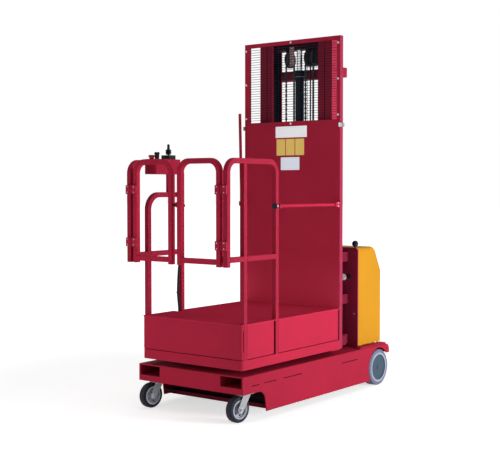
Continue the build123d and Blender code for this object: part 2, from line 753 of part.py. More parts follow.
# Inner cross members: head beam with the sheave cheeks and pins, and the foot plate
HEAD_HALF = 30.0
CHEEK_PLATE = 4.0
CHEEK_OUT = SHEAVE_WIDTH / 2 + 3.0
CHEEK_HALF = 28.0
CHEEK_BOTTOM = 2220.0
FOOT_PLATE_Y = (MAST_Y + 2.0, MAST_Y + 12.0)
FOOT_PLATE_TOP = INNER_BOTTOM + 45.0
SHEAVE_XS = (-CHAIN_X, CHAIN_X, TRAIL_CABLE_X)
with BuildPart() as inner_crossbars:
    web_face = INNER_HALF - MAST_WALL
    head_y = (MAST_MID_Y - HEAD_HALF, MAST_MID_Y + HEAD_HALF)
    block((-web_face, web_face), head_y, (TOP_BEAM_Z, INNER_TOP))
    block((-INNER_INSIDE, INNER_INSIDE), FOOT_PLATE_Y, (INNER_BOTTOM, FOOT_PLATE_TOP))
    for sheave_x in SHEAVE_XS:
        for side in SIDES:
            cheek_x = sheave_x + side * CHEEK_OUT
            block(
                (cheek_x - CHEEK_PLATE / 2, cheek_x + CHEEK_PLATE / 2),
                (MAST_MID_Y - CHEEK_HALF, MAST_MID_Y + CHEEK_HALF),
                (CHEEK_BOTTOM, TOP_BEAM_Z),
            )
        rod((sheave_x, MAST_MID_Y, SHEAVE_Z), SHEAVE_PIN_R, 2 * CHEEK_OUT, axis="X")
keep(inner_crossbars.part, "inner_crossbars")


# Piston rod
PISTON = 40.0
with BuildPart() as piston_rod:
    rod((0, CYLINDER_Y, (PISTON_Z + TOP_BEAM_Z) / 2), ROD_R, TOP_BEAM_Z - PISTON_Z)
    rod((0, CYLINDER_Y, PISTON_Z + PISTON / 2), BARREL_BORE_R - RUNNING, PISTON)
keep(piston_rod.part, "piston_rod")


# Sheaves: two for the chains and one for the trailing cable, all on one line
CHAIN_GROOVE = 16.0
CABLE_GROOVE = 13.0
with BuildPart() as sheaves:
    for sheave_x in SHEAVE_XS:
        groove = CABLE_GROOVE if sheave_x == TRAIL_CABLE_X else CHAIN_GROOVE
        rod((sheave_x, MAST_MID_Y, SHEAVE_Z), SHEAVE_FLANGE_R, SHEAVE_WIDTH, axis="X")
        with BuildSketch(Plane.YZ.offset(sheave_x - groove / 2)):
            with Locations((MAST_MID_Y, SHEAVE_Z)):
                Circle(2 * SHEAVE_FLANGE_R)
                Circle(SHEAVE_GROOVE_R, mode=Mode.SUBTRACT)
        extrude(amount=groove, mode=Mode.SUBTRACT)
        rod(
            (sheave_x, MAST_MID_Y, SHEAVE_Z),
            SHEAVE_PIN_R + RUNNING,
            2 * SHEAVE_WIDTH,
            axis="X",
            mode=Mode.SUBTRACT,
        )
keep(sheaves.part, "sheaves")


# Lift chains: over the sheaves and down to the carriage in front, to the fixed lugs behind
WRAP_R = SHEAVE_GROOVE_R + CHAIN_GAP
with BuildPart() as chain_lift_runs:
    for side in SIDES:
        chain_x = side * CHAIN_X
        with BuildSketch(Plane.YZ.offset(chain_x - CHAIN_WIDTH / 2)):
            with Locations((MAST_MID_Y, SHEAVE_Z)):
                Circle(WRAP_R + CHAIN_THICK)
                Circle(WRAP_R, mode=Mode.SUBTRACT)
            with Locations((MAST_MID_Y, SHEAVE_Z - SHEAVE_FLANGE_R)):
                Rectangle(4 * SHEAVE_FLANGE_R, 2 * SHEAVE_FLANGE_R, mode=Mode.SUBTRACT)
        extrude(amount=CHAIN_WIDTH)
        block(
            (chain_x - CHAIN_WIDTH / 2, chain_x + CHAIN_WIDTH / 2),
            (MAST_MID_Y - WRAP_R - CHAIN_THICK, MAST_MID_Y - WRAP_R),
            (CHAIN_END_Z, SHEAVE_Z),
        )
keep(chain_lift_runs.part, "chain_lift_runs")

with BuildPart() as chain_fixed_runs:
    for side in SIDES:
        chain_x = side * CHAIN_X
        block(
            (chain_x - CHAIN_WIDTH / 2, chain_x + CHAIN_WIDTH / 2),
            (MAST_MID_Y + WRAP_R, MAST_MID_Y + WRAP_R + CHAIN_THICK),
            (LUG_TOP, SHEAVE_Z),
        )
keep(chain_fixed_runs.part, "chain_fixed_runs")


# Trailing cable: runs beside the chains over its own sheave
TRAIL_R = SHEAVE_GROOVE_R + CHAIN_GAP + TRAIL_CABLE_R
with BuildPart() as cable_lift_run:
    with BuildLine() as route:
        Line(
            (TRAIL_CABLE_X, MAST_MID_Y - TRAIL_R, CHAIN_END_Z),
            (TRAIL_CABLE_X, MAST_MID_Y - TRAIL_R, SHEAVE_Z),
        )
        ThreePointArc(
            (TRAIL_CABLE_X, MAST_MID_Y - TRAIL_R, SHEAVE_Z),
            (TRAIL_CABLE_X, MAST_MID_Y, SHEAVE_Z + TRAIL_R),
            (TRAIL_CABLE_X, MAST_MID_Y + TRAIL_R, SHEAVE_Z),
        )
    with BuildSketch(Plane.XY.offset(CHAIN_END_Z)):
        with Locations((TRAIL_CABLE_X, MAST_MID_Y - TRAIL_R)):
            Circle(TRAIL_CABLE_R)
    sweep(path=route.wire())
keep(cable_lift_run.part, "cable_lift_run")

with BuildPart() as cable_fixed_run:
    rod(
        (TRAIL_CABLE_X, MAST_MID_Y + TRAIL_R, (LUG_TOP + SHEAVE_Z) / 2),
        TRAIL_CABLE_R,
        SHEAVE_Z - LUG_TOP,
    )
keep(cable_fixed_run.part, "cable_fixed_run")


# Carriage behind the guard: beams, arms, slide shoes in the inner channels, and the chain brackets
ARM = (155.0, 180.0)
ARM_Y = GUARD_Y + 28.0
ARM_REAR = MAST_REAR - 14.0
ARM_Z = (350.0, 990.0)
SHOE_LEVELS = (360.0, 900.0)
SHOE_HEIGHT = 80.0
SHOE_END = INNER_HALF - MAST_WALL - 3.0
CARRIAGE_BEAMS = (420.0, 850.0)
CARRIAGE_BEAM = 60.0
CHAIN_BRACKET_HALF = 12.0
CHAIN_BRACKET_REAR = MAST_MID_Y - 35.0
CHAIN_BRACKET = 60.0
with BuildPart() as carriage:
    for level in CARRIAGE_BEAMS:
        block((-ARM[1], ARM[1]), (GUARD_Y + SHEET, ARM_Y), (level, level + CARRIAGE_BEAM))
    for side in SIDES:
        block((side * ARM[0], side * ARM[1]), (ARM_Y, ARM_REAR), ARM_Z)
        for level in SHOE_LEVELS:
            block(
                (side * ARM[1], side * SHOE_END),
                (MAST_Y + MAST_WALL + PAD_PLAY, MAST_REAR - MAST_WALL - PAD_PLAY),
                (level, level + SHOE_HEIGHT),
            )
    for bracket_x in SHEAVE_XS:
        bracket = (bracket_x - CHAIN_BRACKET_HALF, bracket_x + CHAIN_BRACKET_HALF)
        bracket_top = CHAIN_END_Z - CHAIN_GAP
        block(bracket, (GUARD_Y + SHEET, CHAIN_BRACKET_REAR), (bracket_top - CHAIN_BRACKET, bracket_top))
        block(bracket, (GUARD_Y + SHEET, ARM_Y), (CARRIAGE_BEAMS[0], bracket_top))
keep(carriage.part, "carriage")


# Platform base: a ring of folded channel under the panels
with BuildPart() as platform_base:
    with BuildSketch(Plane.XY.offset(BASE_BOTTOM)) as ring:
        with Locations((0, (DECK_Y + GUARD_Y) / 2)):
            Rectangle(2 * RAIL_HALF, GUARD_Y - DECK_Y)
        fillet(ring.vertices().group_by(Axis.Y)[0], BASE_CORNER)
    extrude(amount=BASE_TOP - BASE_BOTTOM)
    hollow = RAIL_HALF - BASE_WALL
    with BuildSketch(Plane.XY.offset(BASE_BOTTOM + BASE_WALL)) as inside:
        with Locations((0, (DECK_Y + GUARD_Y) / 2)):
            Rectangle(2 * hollow, GUARD_Y - DECK_Y - 2 * BASE_WALL)
        fillet(inside.vertices().group_by(Axis.Y)[0], BASE_CORNER - BASE_WALL)
    extrude(amount=BASE_TOP - BASE_BOTTOM - 2 * BASE_WALL, mode=Mode.SUBTRACT)
    opening = RAIL_HALF - BASE_FLANGE
    block(
        (-opening, opening),
        (PLATFORM_Y + BASE_FLANGE, GUARD_Y - BASE_FLANGE),
        (BASE_BOTTOM, BASE_TOP),
        mode=Mode.SUBTRACT,
    )
keep(platform_base.part, "platform_base")


# Platform panels: the front one is bent round the corners to the posts and slotted beside them
POST_GAP = 3.0
MID_GAP = 16.0
REAR_GAP = 13.0
PANEL_TOP = DECK_TOP - DECK
POST_FRONT = CORNER_POST_Y - TUBE / 2
FRONT_EDGE = CORNER_POST_Y + TUBE / 2
MID_FRONT = MID_POST_Y - TUBE / 2
MID_REAR = MID_POST_Y + TUBE / 2
PANEL_HALF = RAIL_HALF - PANEL_INSET
PANEL_FRONT = DECK_Y + PANEL_INSET
SLOT_Z = (BASE_TOP + 50.0, PANEL_TOP - 30.0)
with BuildPart() as platform_panels:
    with BuildSketch(Plane.XY.offset(PANEL_FOOT)) as skin:
        with Locations((0, (PANEL_FRONT + POST_FRONT) / 2)):
            Rectangle(2 * PANEL_HALF, POST_FRONT - PANEL_FRONT)
        fillet(skin.vertices().group_by(Axis.Y)[0], PANEL_CORNER)
    extrude(amount=PANEL_TOP - PANEL_FOOT)
    with BuildSketch(Plane.XY.offset(PANEL_FOOT)) as inside:
        with Locations((0, (PANEL_FRONT + PANEL + POST_FRONT) / 2)):
            Rectangle(2 * (PANEL_HALF - PANEL), POST_FRONT - PANEL_FRONT - PANEL)
        fillet(inside.vertices().group_by(Axis.Y)[0], PANEL_CORNER - PANEL)
    extrude(amount=PANEL_TOP - PANEL_FOOT, mode=Mode.SUBTRACT)
    block(
        (-RAIL_HALF, RAIL_HALF),
        (PANEL_FRONT + PANEL_CORNER, POST_FRONT),
        SLOT_Z,
        mode=Mode.SUBTRACT,
    )
    for side in SIDES:
        side_skin = (side * (PANEL_HALF - PANEL), side * PANEL_HALF)
        block(side_skin, (FRONT_EDGE + POST_GAP, MID_FRONT - MID_GAP), (PANEL_FOOT, PANEL_TOP))
        block(side_skin, (MID_REAR + POST_GAP, GUARD_Y - REAR_GAP), (PANEL_FOOT, PANEL_TOP))
keep(platform_panels.part, "platform_panels")


# Deck plate, notched round the posts and where the control cable passes down
CABLE_NOTCH_Y = PLATFORM_Y + 274.0
CABLE_NOTCH_X = -350.0
with BuildPart() as deck_plate:
    with BuildSketch(Plane.XY.offset(DECK_TOP - DECK)) as outline:
        with Locations((0, (DECK_Y + GUARD_Y) / 2)):
            Rectangle(2 * RAIL_HALF, GUARD_Y - DECK_Y)
        fillet(outline.vertices().group_by(Axis.Y)[0], PANEL_CORNER)
    extrude(amount=DECK)
    for side in SIDES:
        for post_y in (CORNER_POST_Y, MID_POST_Y):
            block(
                (side * (RAIL_HALF - TUBE), side * RAIL_HALF),
                (post_y - TUBE / 2, post_y + TUBE / 2),
                (DECK_TOP - DECK, DECK_TOP),
                mode=Mode.SUBTRACT,
            )
    block(
        (-RAIL_HALF, CABLE_NOTCH_X),
        (CABLE_NOTCH_Y, MID_FRONT),
        (DECK_TOP - DECK, DECK_TOP),
        mode=Mode.SUBTRACT,
    )
keep(deck_plate.part, "deck_plate")


# Back guard: one folded sheet with a window for the mesh
with BuildPart() as back_guard:
    block((-RAIL_HALF, RAIL_HALF), (GUARD_Y, GUARD_Y + SHEET), (BASE_BOTTOM, GUARD_TOP))
    block(
        WINDOW_X,
        (GUARD_Y, GUARD_Y + SHEET),
        (WINDOW_BOTTOM, WINDOW_TOP),
        mode=Mode.SUBTRACT,
    )
    for side in SIDES:
        block(
            (side * (RAIL_HALF - SHEET), side * RAIL_HALF),
            (GUARD_Y, GUARD_Y + GUARD_FLANGE),
            (BASE_BOTTOM, GUARD_TOP),
        )
    block(
        (-RAIL_HALF, RAIL_HALF),
        (GUARD_Y, GUARD_Y + GUARD_FLANGE),
        (GUARD_TOP - SHEET, GUARD_TOP),
    )
keep(back_guard.part, "back_guard")


# Mesh panel behind the window: one flat net
with BuildPart() as mesh_panel:
    with BuildSketch(Plane.XZ.offset(-(GUARD_Y + SHEET))):
        with Locations((0, (MESH_BOTTOM + MESH_TOP) / 2)):
            Rectangle(2 * MESH_HALF, MESH_TOP - MESH_BOTTOM)
        pitch_x = (WINDOW_X[1] - WINDOW_X[0]) / MESH_COLUMNS
        pitch_z = (WINDOW_TOP - WINDOW_BOTTOM) / MESH_ROWS
        with Locations((sum(WINDOW_X) / 2, (WINDOW_BOTTOM + WINDOW_TOP) / 2)):
            with GridLocations(pitch_x, pitch_z, MESH_COLUMNS, MESH_ROWS):
                Rectangle(pitch_x - WIRE, pitch_z - WIRE, mode=Mode.SUBTRACT)
    extrude(amount=-MESH)
keep(mesh_panel.part, "mesh_panel")


# Fittings: bolts round the mesh, side clips beside the raised bars, bracket bolts and post washers
BOLT_X = 380.0
BOLT_LEVELS = (2329.0, 2094.0, 1858.0)
BOLT_HEAD = 5.0
MIDDLE_BOLTS = (WINDOW_TOP + 12.0, WINDOW_BOTTOM - 14.0)
CLIP_Z = (1778.0, 1804.0)
CLIP = 3.0
CLIP_AHEAD = 18.0
CLIP_REAR = 34.0
CLIP_END = (12.0, 13.0)
BAR_BOLT_R = 5.0
BAR_BOLT_STEP = 10.5
BAR_BOLT_Y = BAR_PIVOT_Y + 14.0
STUD_R = 6.0
STUD = 4.0
CHEEK_IN = BAR_R + CHEEK_GAP
with BuildPart() as guard_fittings:
    for side in SIDES:
        for level in BOLT_LEVELS:
            rod((side * BOLT_X, GUARD_Y - BOLT_HEAD / 2, level), MESH_BOLT_R, BOLT_HEAD, axis="Y")
        block(
            (side * RAIL_HALF, side * (RAIL_HALF + CLIP)),
            (GUARD_Y - CLIP_AHEAD, GUARD_Y + CLIP_REAR),
            CLIP_Z,
        )
        block(
            (side * (RAIL_HALF + CLIP), side * (RAIL_HALF + CLIP + CLIP_END[1])),
            (GUARD_Y + CLIP_REAR - CLIP_END[0], GUARD_Y + CLIP_REAR),
            CLIP_Z,
        )
        bolt_x = side * (BAR_X + CHEEK_IN + CHEEK + BOLT_HEAD / 2)
        for end in SIDES:
            rod((bolt_x, BAR_BOLT_Y, BAR_Z + end * BAR_BOLT_STEP), BAR_BOLT_R, BOLT_HEAD, axis="X")
        rod((side * (RAIL_HALF + STUD / 2), MID_POST_Y, BAR_Z), STUD_R, STUD, axis="X")
    for level in MIDDLE_BOLTS:
        rod((0, GUARD_Y - BOLT_HEAD / 2, level), MESH_BOLT_R, BOLT_HEAD, axis="Y")
keep(guard_fittings.part, "guard_fittings")


# Side hoops: front drop, top bar and mid post in one bent tube
HOOP_Z = RAIL_TOP - TUBE / 2
for side in SIDES:
    with BuildPart() as hoop:
        rail(
            [
                (side * RAIL_X, GATE_MID_Y, GATE_BOTTOM),
                (side * RAIL_X, GATE_MID_Y, HOOP_Z),
                (side * RAIL_X, MID_POST_Y, HOOP_Z),
                (side * RAIL_X, MID_POST_Y, BASE_TOP),
            ],
            (1, 0, 0),
        )
    keep(hoop.part, f"rail_hoop_{SIDE_NAMES[side]}")


# Left corner hoop: rises from the front corner and bends back to the mid post
with BuildPart() as corner_hoop:
    rail(
        [
            (-RAIL_X, CORNER_POST_Y, BASE_TOP),
            (-RAIL_X, CORNER_POST_Y, CORNER_HOOP_TOP - TUBE / 2),
            (-RAIL_X, MID_FRONT, CORNER_HOOP_TOP - TUBE / 2),
        ],
        (1, 0, 0),
        radius=CORNER_HOOP_BEND,
    )
keep(corner_hoop.part, "corner_hoop")


# Straight rail pieces: right corner post, low side bars and the strut under the left top bar
DROP_REAR = GATE_Y + TUBE
with BuildPart() as rail_braces:
    rail([(RAIL_X, CORNER_POST_Y, BASE_TOP), (RAIL_X, CORNER_POST_Y, RAIL_TOP - TUBE)], (1, 0, 0))
    rail([(-RAIL_X, STRUT_Y, CORNER_HOOP_TOP), (-RAIL_X, STRUT_Y, RAIL_TOP - TUBE)], (1, 0, 0))
    for side in SIDES:
        for start, end in ((DROP_REAR, POST_FRONT), (FRONT_EDGE, MID_FRONT)):
            rail([(side * RAIL_X, start, SIDE_BAR_Z), (side * RAIL_X, end, SIDE_BAR_Z)], (1, 0, 0))
keep(rail_braces.part, "rail_braces")


# Gate hinges, fixed halves: padded leaf, two end knuckles and the pin
KNUCKLE = HINGE_HEIGHT / 3
KNUCKLE_PLAY = 0.3
LEAF_START = 2.0
CUT = BARREL_R + THROUGH
with BuildPart() as hinge_plates:
    for side in SIDES:
        for level in HINGE_LEVELS:
            axis_point = (side * HINGE_X, HINGE_Y, level)
            block(
                (side * (HINGE_X + LEAF_START), side * (HINGE_X + LEAF_REACH)),
                (GATE_Y - LEAF, GATE_Y),
                (level - HINGE_HEIGHT / 2, level + HINGE_HEIGHT / 2),
            )
            block(
                (side * (HINGE_X + LEAF_PAD_START), side * (HINGE_X + LEAF_REACH)),
                (GATE_Y - LEAF - LEAF_PAD, GATE_Y - LEAF),
                (level - HINGE_HEIGHT / 2, level + HINGE_HEIGHT / 2),
            )
            rod(axis_point, BARREL_R, HINGE_HEIGHT)
            block(
                (side * (HINGE_X - CUT), side * (HINGE_X + CUT)),
                (HINGE_Y - CUT, GATE_Y + THROUGH),
                (level - KNUCKLE / 2 - KNUCKLE_PLAY, level + KNUCKLE / 2 + KNUCKLE_PLAY),
                mode=Mode.SUBTRACT,
            )
            rod(axis_point, HINGE_PIN_R, HINGE_HEIGHT)
keep(hinge_plates.part, "hinge_plates")


# Gate leaves: hoop, low bar, and the moving hinge halves; the right one is slotted for the bolt's handle
UPRIGHT_OUT = GATE_OUTER - TUBE / 2
HANDLE_X = GATE_INNER[1] + 19.0
HANDLE_R = 4.0
HANDLE_SLOT = HANDLE_R + 0.5
for side in SIDES:
    inner_edge = GATE_INNER[side]
    upright_in = inner_edge + TUBE / 2
    with BuildPart() as gate:
        rail(
            [
                (side * UPRIGHT_OUT, GATE_MID_Y, GATE_BOTTOM),
                (side * UPRIGHT_OUT, GATE_MID_Y, HOOP_Z),
                (side * upright_in, GATE_MID_Y, HOOP_Z),
                (side * upright_in, GATE_MID_Y, GATE_BOTTOM),
            ],
            (0, 1, 0),
        )
        rail(
            [
                (side * (inner_edge + TUBE), GATE_MID_Y, GATE_BAR_Z),
                (side * (GATE_OUTER - TUBE), GATE_MID_Y, GATE_BAR_Z),
            ],
            (0, 1, 0),
        )
        for level in HINGE_LEVELS:
            block(
                (side * (HINGE_X - LEAF_REACH), side * (HINGE_X - LEAF_START)),
                (GATE_Y - LEAF, GATE_Y),
                (level - HINGE_HEIGHT / 2, level + HINGE_HEIGHT / 2),
            )
            block(
                (side * (HINGE_X - LEAF_REACH), side * (HINGE_X - LEAF_PAD_START)),
                (GATE_Y - LEAF - LEAF_PAD, GATE_Y - LEAF),
                (level - HINGE_HEIGHT / 2, level + HINGE_HEIGHT / 2),
            )
            rod((side * HINGE_X, HINGE_Y, level), BARREL_R, KNUCKLE)
            for end in SIDES:
                gap_low = level + end * KNUCKLE / 2
                block(
                    (side * (HINGE_X - CUT), side * (HINGE_X + CUT)),
                    (HINGE_Y - CUT, GATE_Y),
                    (gap_low, gap_low + end * (KNUCKLE + THROUGH)),
                    mode=Mode.SUBTRACT,
                )
            rod(
                (side * HINGE_X, HINGE_Y, level),
                HINGE_PIN_R + RUNNING,
                HINGE_HEIGHT + 2 * THROUGH,
                mode=Mode.SUBTRACT,
            )
        bore_start = inner_edge - THROUGH
        bore_end = upright_in
        rod(
            (side * (bore_start + bore_end) / 2, GATE_MID_Y, LATCH_Z),
            LATCH_R + (RUNNING if side > 0 else LATCH_PLAY),
            bore_end - bore_start,
            axis="X",
            mode=Mode.SUBTRACT,
        )
        if side > 0:
            block(
                (HANDLE_X - LATCH_TRAVEL - HANDLE_SLOT, HANDLE_X + HANDLE_SLOT),
                (GATE_Y + TUBE - TUBE_WALL - THROUGH, GATE_Y + TUBE + THROUGH),
                (LATCH_Z - HANDLE_SLOT, LATCH_Z + HANDLE_SLOT),
                mode=Mode.SUBTRACT,
            )
    keep(gate.part, f"gate_{SIDE_NAMES[side]}")


# Gate bolt: slides in the right leaf's inner upright towards the left leaf, with a handle behind
BOLT_TIP = LATCH_PLAY - GATE_INNER[-1]
BOLT_END = HANDLE_X + LATCH_R
HANDLE_END = GATE_Y + TUBE + 5.0
BOLT_KNOB_R = 6.5
BOLT_KNOB = 9.0
BOLT_KNOB_EDGE = 3.0
with BuildPart() as gate_bolt:
    rod(((BOLT_TIP + BOLT_END) / 2, GATE_MID_Y, LATCH_Z), LATCH_R, BOLT_END - BOLT_TIP, axis="X")
    handle_middle = (GATE_MID_Y + HANDLE_END) / 2
    rod((HANDLE_X, handle_middle, LATCH_Z), HANDLE_R, HANDLE_END - GATE_MID_Y, axis="Y")
    rod((HANDLE_X, HANDLE_END + BOLT_KNOB / 2, LATCH_Z), BOLT_KNOB_R, BOLT_KNOB, axis="Y")
    fillet(gate_bolt.edges().filter_by(GeomType.CIRCLE).sort_by(Axis.Y)[-1], BOLT_KNOB_EDGE)
keep(gate_bolt.part, "gate_bolt")


# Entry bar brackets on the guard with the pivot pins, and saddles behind the mid posts for the bars' ends
BRACKET_HALF = 16.0
BRACKET_PLATE = 6.0
BRACKET_FRONT = BAR_PIVOT_Y - 12.0
SADDLE = (MID_REAR, MID_REAR + 18.0)
SADDLE_FLOOR = (BAR_Z - BAR_R - CHEEK_GAP - CHEEK, BAR_Z - BAR_R - CHEEK_GAP)
SADDLE_TOP = BAR_Z + 2.0
with BuildPart() as bar_brackets:
    for side in SIDES:
        across = (side * BAR_X - CHEEK_IN - CHEEK, side * BAR_X + CHEEK_IN + CHEEK)
        block(across, (GUARD_Y - BRACKET_PLATE, GUARD_Y), (BAR_Z - BRACKET_HALF, BAR_Z + BRACKET_HALF))
        block(across, SADDLE, SADDLE_FLOOR)
        for end in SIDES:
            cheek_face = side * BAR_X + end * CHEEK_IN
            cheek_x = (cheek_face, cheek_face + end * CHEEK)
            block(
                cheek_x,
                (BRACKET_FRONT, GUARD_Y - BRACKET_PLATE),
                (BAR_Z - BRACKET_HALF, BAR_Z + BRACKET_HALF),
            )
            block(cheek_x, SADDLE, (SADDLE_FLOOR[0], SADDLE_TOP))
        rod((side * BAR_X, BAR_PIVOT_Y, BAR_Z), BAR_PIN_R, 2 * CHEEK_IN, axis="X")
keep(bar_brackets.part, "bar_brackets")


# Catch knobs on the outer front edges of the mid posts
CATCH_X = RAIL_HALF - 2.0
CATCH_NECK_R = 8.0
CATCH_NECK = 5.0
CATCH_R = 18.0
CATCH = 10.0
CATCH_EDGE = 3.0
with BuildPart() as bar_catches:
    for side in SIDES:
        rod((side * CATCH_X, MID_FRONT - CATCH_NECK / 2, BAR_Z), CATCH_NECK_R, CATCH_NECK, axis="Y")
        rod((side * CATCH_X, MID_FRONT - CATCH_NECK - CATCH / 2, BAR_Z), CATCH_R, CATCH, axis="Y")
    fillet(bar_catches.edges().filter_by(GeomType.CIRCLE).group_by(Axis.Y)[0], CATCH_EDGE)
keep(bar_catches.part, "bar_catches")


# Entry bars: tubes with a solid pivot end, the right one lowered into its catch, the left one raised
BAR_WALL = 2.5
BAR_EDGE = 2.0
BAR_SOLID = 40.0
lean = math.radians(BAR_LEAN)
RAISED = Vector(0, -math.sin(lean), math.cos(lean))
LOWERED = Vector(0, -1, 0)
for side in SIDES:
    heading = LOWERED if side > 0 else RAISED
    pivot = Vector(side * BAR_X, BAR_PIVOT_Y, BAR_Z)
    with BuildPart() as entry_bar:
        with BuildSketch(Plane(origin=pivot - heading * BAR_TAIL, x_dir=(1, 0, 0), z_dir=heading)):
            Circle(BAR_R)
        extrude(amount=BAR_TAIL + BAR_REACH)
        fillet(entry_bar.edges().filter_by(GeomType.CIRCLE), BAR_EDGE)
        with BuildSketch(Plane(origin=pivot + heading * BAR_SOLID, x_dir=(1, 0, 0), z_dir=heading)):
            Circle(BAR_R - BAR_WALL)
        extrude(amount=BAR_REACH, mode=Mode.SUBTRACT)
        rod(pivot, BAR_PIN_R + RUNNING, 4 * BAR_R, axis="X", mode=Mode.SUBTRACT)
    keep(entry_bar.part, f"entry_bar_{SIDE_NAMES[side]}")


# Control box: closed case with holes for the controls and the cable
BOX_EDGE = 5.0
CABLE_HOLE_PLAY = 1.0
STICK_HOLE_R = 24.0
KEY_STEM_R = KEY_R - 2.0
THROUGH_SKIN = 20.0
with BuildPart() as control_box:
    block((BOX_LEFT, BOX_RIGHT), (BOX_FRONT, BOX_REAR), (BOX_BOTTOM, BOX_TOP))
    fillet(control_box.edges().filter_by(Axis.Z), BOX_EDGE)
    block(
        (BOX_LEFT + BOX_SKIN, BOX_RIGHT - BOX_SKIN),
        (BOX_FRONT + BOX_SKIN, BOX_REAR - BOX_SKIN),
        (BOX_BOTTOM + BOX_SKIN, BOX_TOP - BOX_SKIN),
        mode=Mode.SUBTRACT,
    )
    cable_hole = CABLE_R + CABLE_HOLE_PLAY
    rod((CABLE_X, BOX_REAR, CABLE_EXIT_Z), cable_hole, THROUGH_SKIN, axis="Y", mode=Mode.SUBTRACT)
    rod((STICK_X, STICK_Y, BOX_TOP), STICK_HOLE_R, THROUGH_SKIN, mode=Mode.SUBTRACT)
    rod((STOP_X, BUTTON_Y, BOX_TOP), STOP_STEM_R + RUNNING, THROUGH_SKIN, mode=Mode.SUBTRACT)
    rod((KEY_X, BUTTON_Y, BOX_TOP), KEY_STEM_R + RUNNING, THROUGH_SKIN, mode=Mode.SUBTRACT)
keep(control_box.part, "control_box")


# Joystick: square base, ball of the cross pivot, and the lever with its boot
BASE_HALF = 34.0
BASE_EDGE = 8.0
STICK_BASE = 26.0
with BuildPart() as joystick_base:
    block(
        (STICK_X - BASE_HALF, STICK_X + BASE_HALF),
        (STICK_Y - BASE_HALF, STICK_Y + BASE_HALF),
        (BOX_TOP, BOX_TOP + STICK_BASE),
    )
    fillet(joystick_base.edges().filter_by(Axis.Z), BASE_EDGE)
    rod((STICK_X, STICK_Y, BOX_TOP + STICK_BASE / 2), STICK_HOLE_R, 2 * STICK_BASE, mode=Mode.SUBTRACT)
keep(joystick_base.part, "joystick_base")

with BuildPart() as joystick_ball:
    with Locations((STICK_X, STICK_Y, STICK_Z)):
        Sphere(STICK_BALL_R)
keep(joystick_ball.part, "joystick_ball")

# Lever outline, as radius and height above the boot's foot
LEVER_FOOT = STICK_BALL_R + 0.5
LEVER_OUTLINE = ((14, 0), (14, 22), (19, 24), (19, 29), (11, 33), (8.5, 38), (8, 62), (5, 66))
with BuildPart() as joystick_lever:
    with BuildSketch(Plane(origin=(STICK_X, STICK_Y, STICK_Z), x_dir=(1, 0, 0), z_dir=(0, -1, 0))):
        with BuildLine():
            Polyline(
                (0, LEVER_FOOT),
                *[(radius, LEVER_FOOT + height) for radius, height in LEVER_OUTLINE],
                (0, LEVER_FOOT + LEVER_OUTLINE[-1][1]),
                close=True,
            )
        make_face()
    revolve(axis=Axis((STICK_X, STICK_Y, STICK_Z), (0, 0, 1)))
keep(joystick_lever.part, "joystick_lever")


# Stop button and key switch
STOP_STEM = 26.0
STOP_CAP_R = 20.0
STOP_CAP = 14.0
STOP_CAP_EDGE = 6.0
STOP_CAP_Z = BOX_TOP + 19.0
with BuildPart() as stop_button:
    rod((STOP_X, BUTTON_Y, BOX_TOP), STOP_STEM_R, STOP_STEM)
    rod((STOP_X, BUTTON_Y, STOP_CAP_Z), STOP_CAP_R, STOP_CAP)
    fillet(stop_button.edges().filter_by(GeomType.CIRCLE).sort_by(Axis.Z)[-1], STOP_CAP_EDGE)
keep(stop_button.part, "stop_button")

KEY_STEM = 20.0
KEY_COLLAR_Z = BOX_TOP + 5.5
KEY_COLLAR = 10.0
KEY_HALF = (17.0, 3.0)
KEY_Z = (BOX_TOP + 10.0, BOX_TOP + 42.0)
KEY_EDGE = 9.0
KEY_NOTCH = (2.5, 10.0)
with BuildPart() as key_switch:
    rod((KEY_X, BUTTON_Y, BOX_TOP), KEY_STEM_R, KEY_STEM)
    rod((KEY_X, BUTTON_Y, KEY_COLLAR_Z), KEY_R, KEY_COLLAR)
    key_y = (BUTTON_Y - KEY_HALF[1], BUTTON_Y + KEY_HALF[1])
    block((KEY_X - KEY_HALF[0], KEY_X + KEY_HALF[0]), key_y, KEY_Z)
    fillet(key_switch.edges().filter_by(Axis.Y).group_by(Axis.Z)[-1], KEY_EDGE)
    notch_x = (KEY_X - KEY_NOTCH[0], KEY_X + KEY_NOTCH[0])
    block(notch_x, key_y, (KEY_Z[1] - KEY_NOTCH[1], KEY_Z[1]), mode=Mode.SUBTRACT)
keep(key_switch.part, "key_switch")


# Lowering valve knob on the hood
KNOB_STEM = 60.0
KNOB_STEM_Z = KNOB_Z - 40.0
with BuildPart() as release_knob:
    with Locations((KNOB_X, KNOB_Y, KNOB_Z)):
        Sphere(KNOB_R)
    rod((KNOB_X, KNOB_Y, KNOB_STEM_Z), KNOB_STEM_R, KNOB_STEM)
keep(release_knob.part, "release_knob")


# Control cable: from the box down the left mid post, through the deck's notch to the base
CABLE_ROUTE = [
    (CABLE_X, BOX_REAR - 24.0, CABLE_EXIT_Z),
    (CABLE_X, BOX_REAR + 30.0, CABLE_EXIT_Z - 2.0),
    (-306.0, PLATFORM_Y + 262.0, 1440.0),
    (-325.0, PLATFORM_Y + 282.0, 1350.0),
    (-343.0, PLATFORM_Y + 290.0, 1225.0),
    (-349.0, PLATFORM_Y + 303.0, 1080.0),
    (-352.0, PLATFORM_Y + 300.0, 945.0),
    (-364.5, PLATFORM_Y + 296.5, 868.0),
    (-369.0, PLATFORM_Y + 294.0, 783.0),
    (-370.5, PLATFORM_Y + 291.0, 690.0),
    (-363.0, PLATFORM_Y + 297.0, 597.0),
    (-366.0, PLATFORM_Y + 297.0, 480.0),
    (-366.0, PLATFORM_Y + 296.0, BASE_TOP),
]


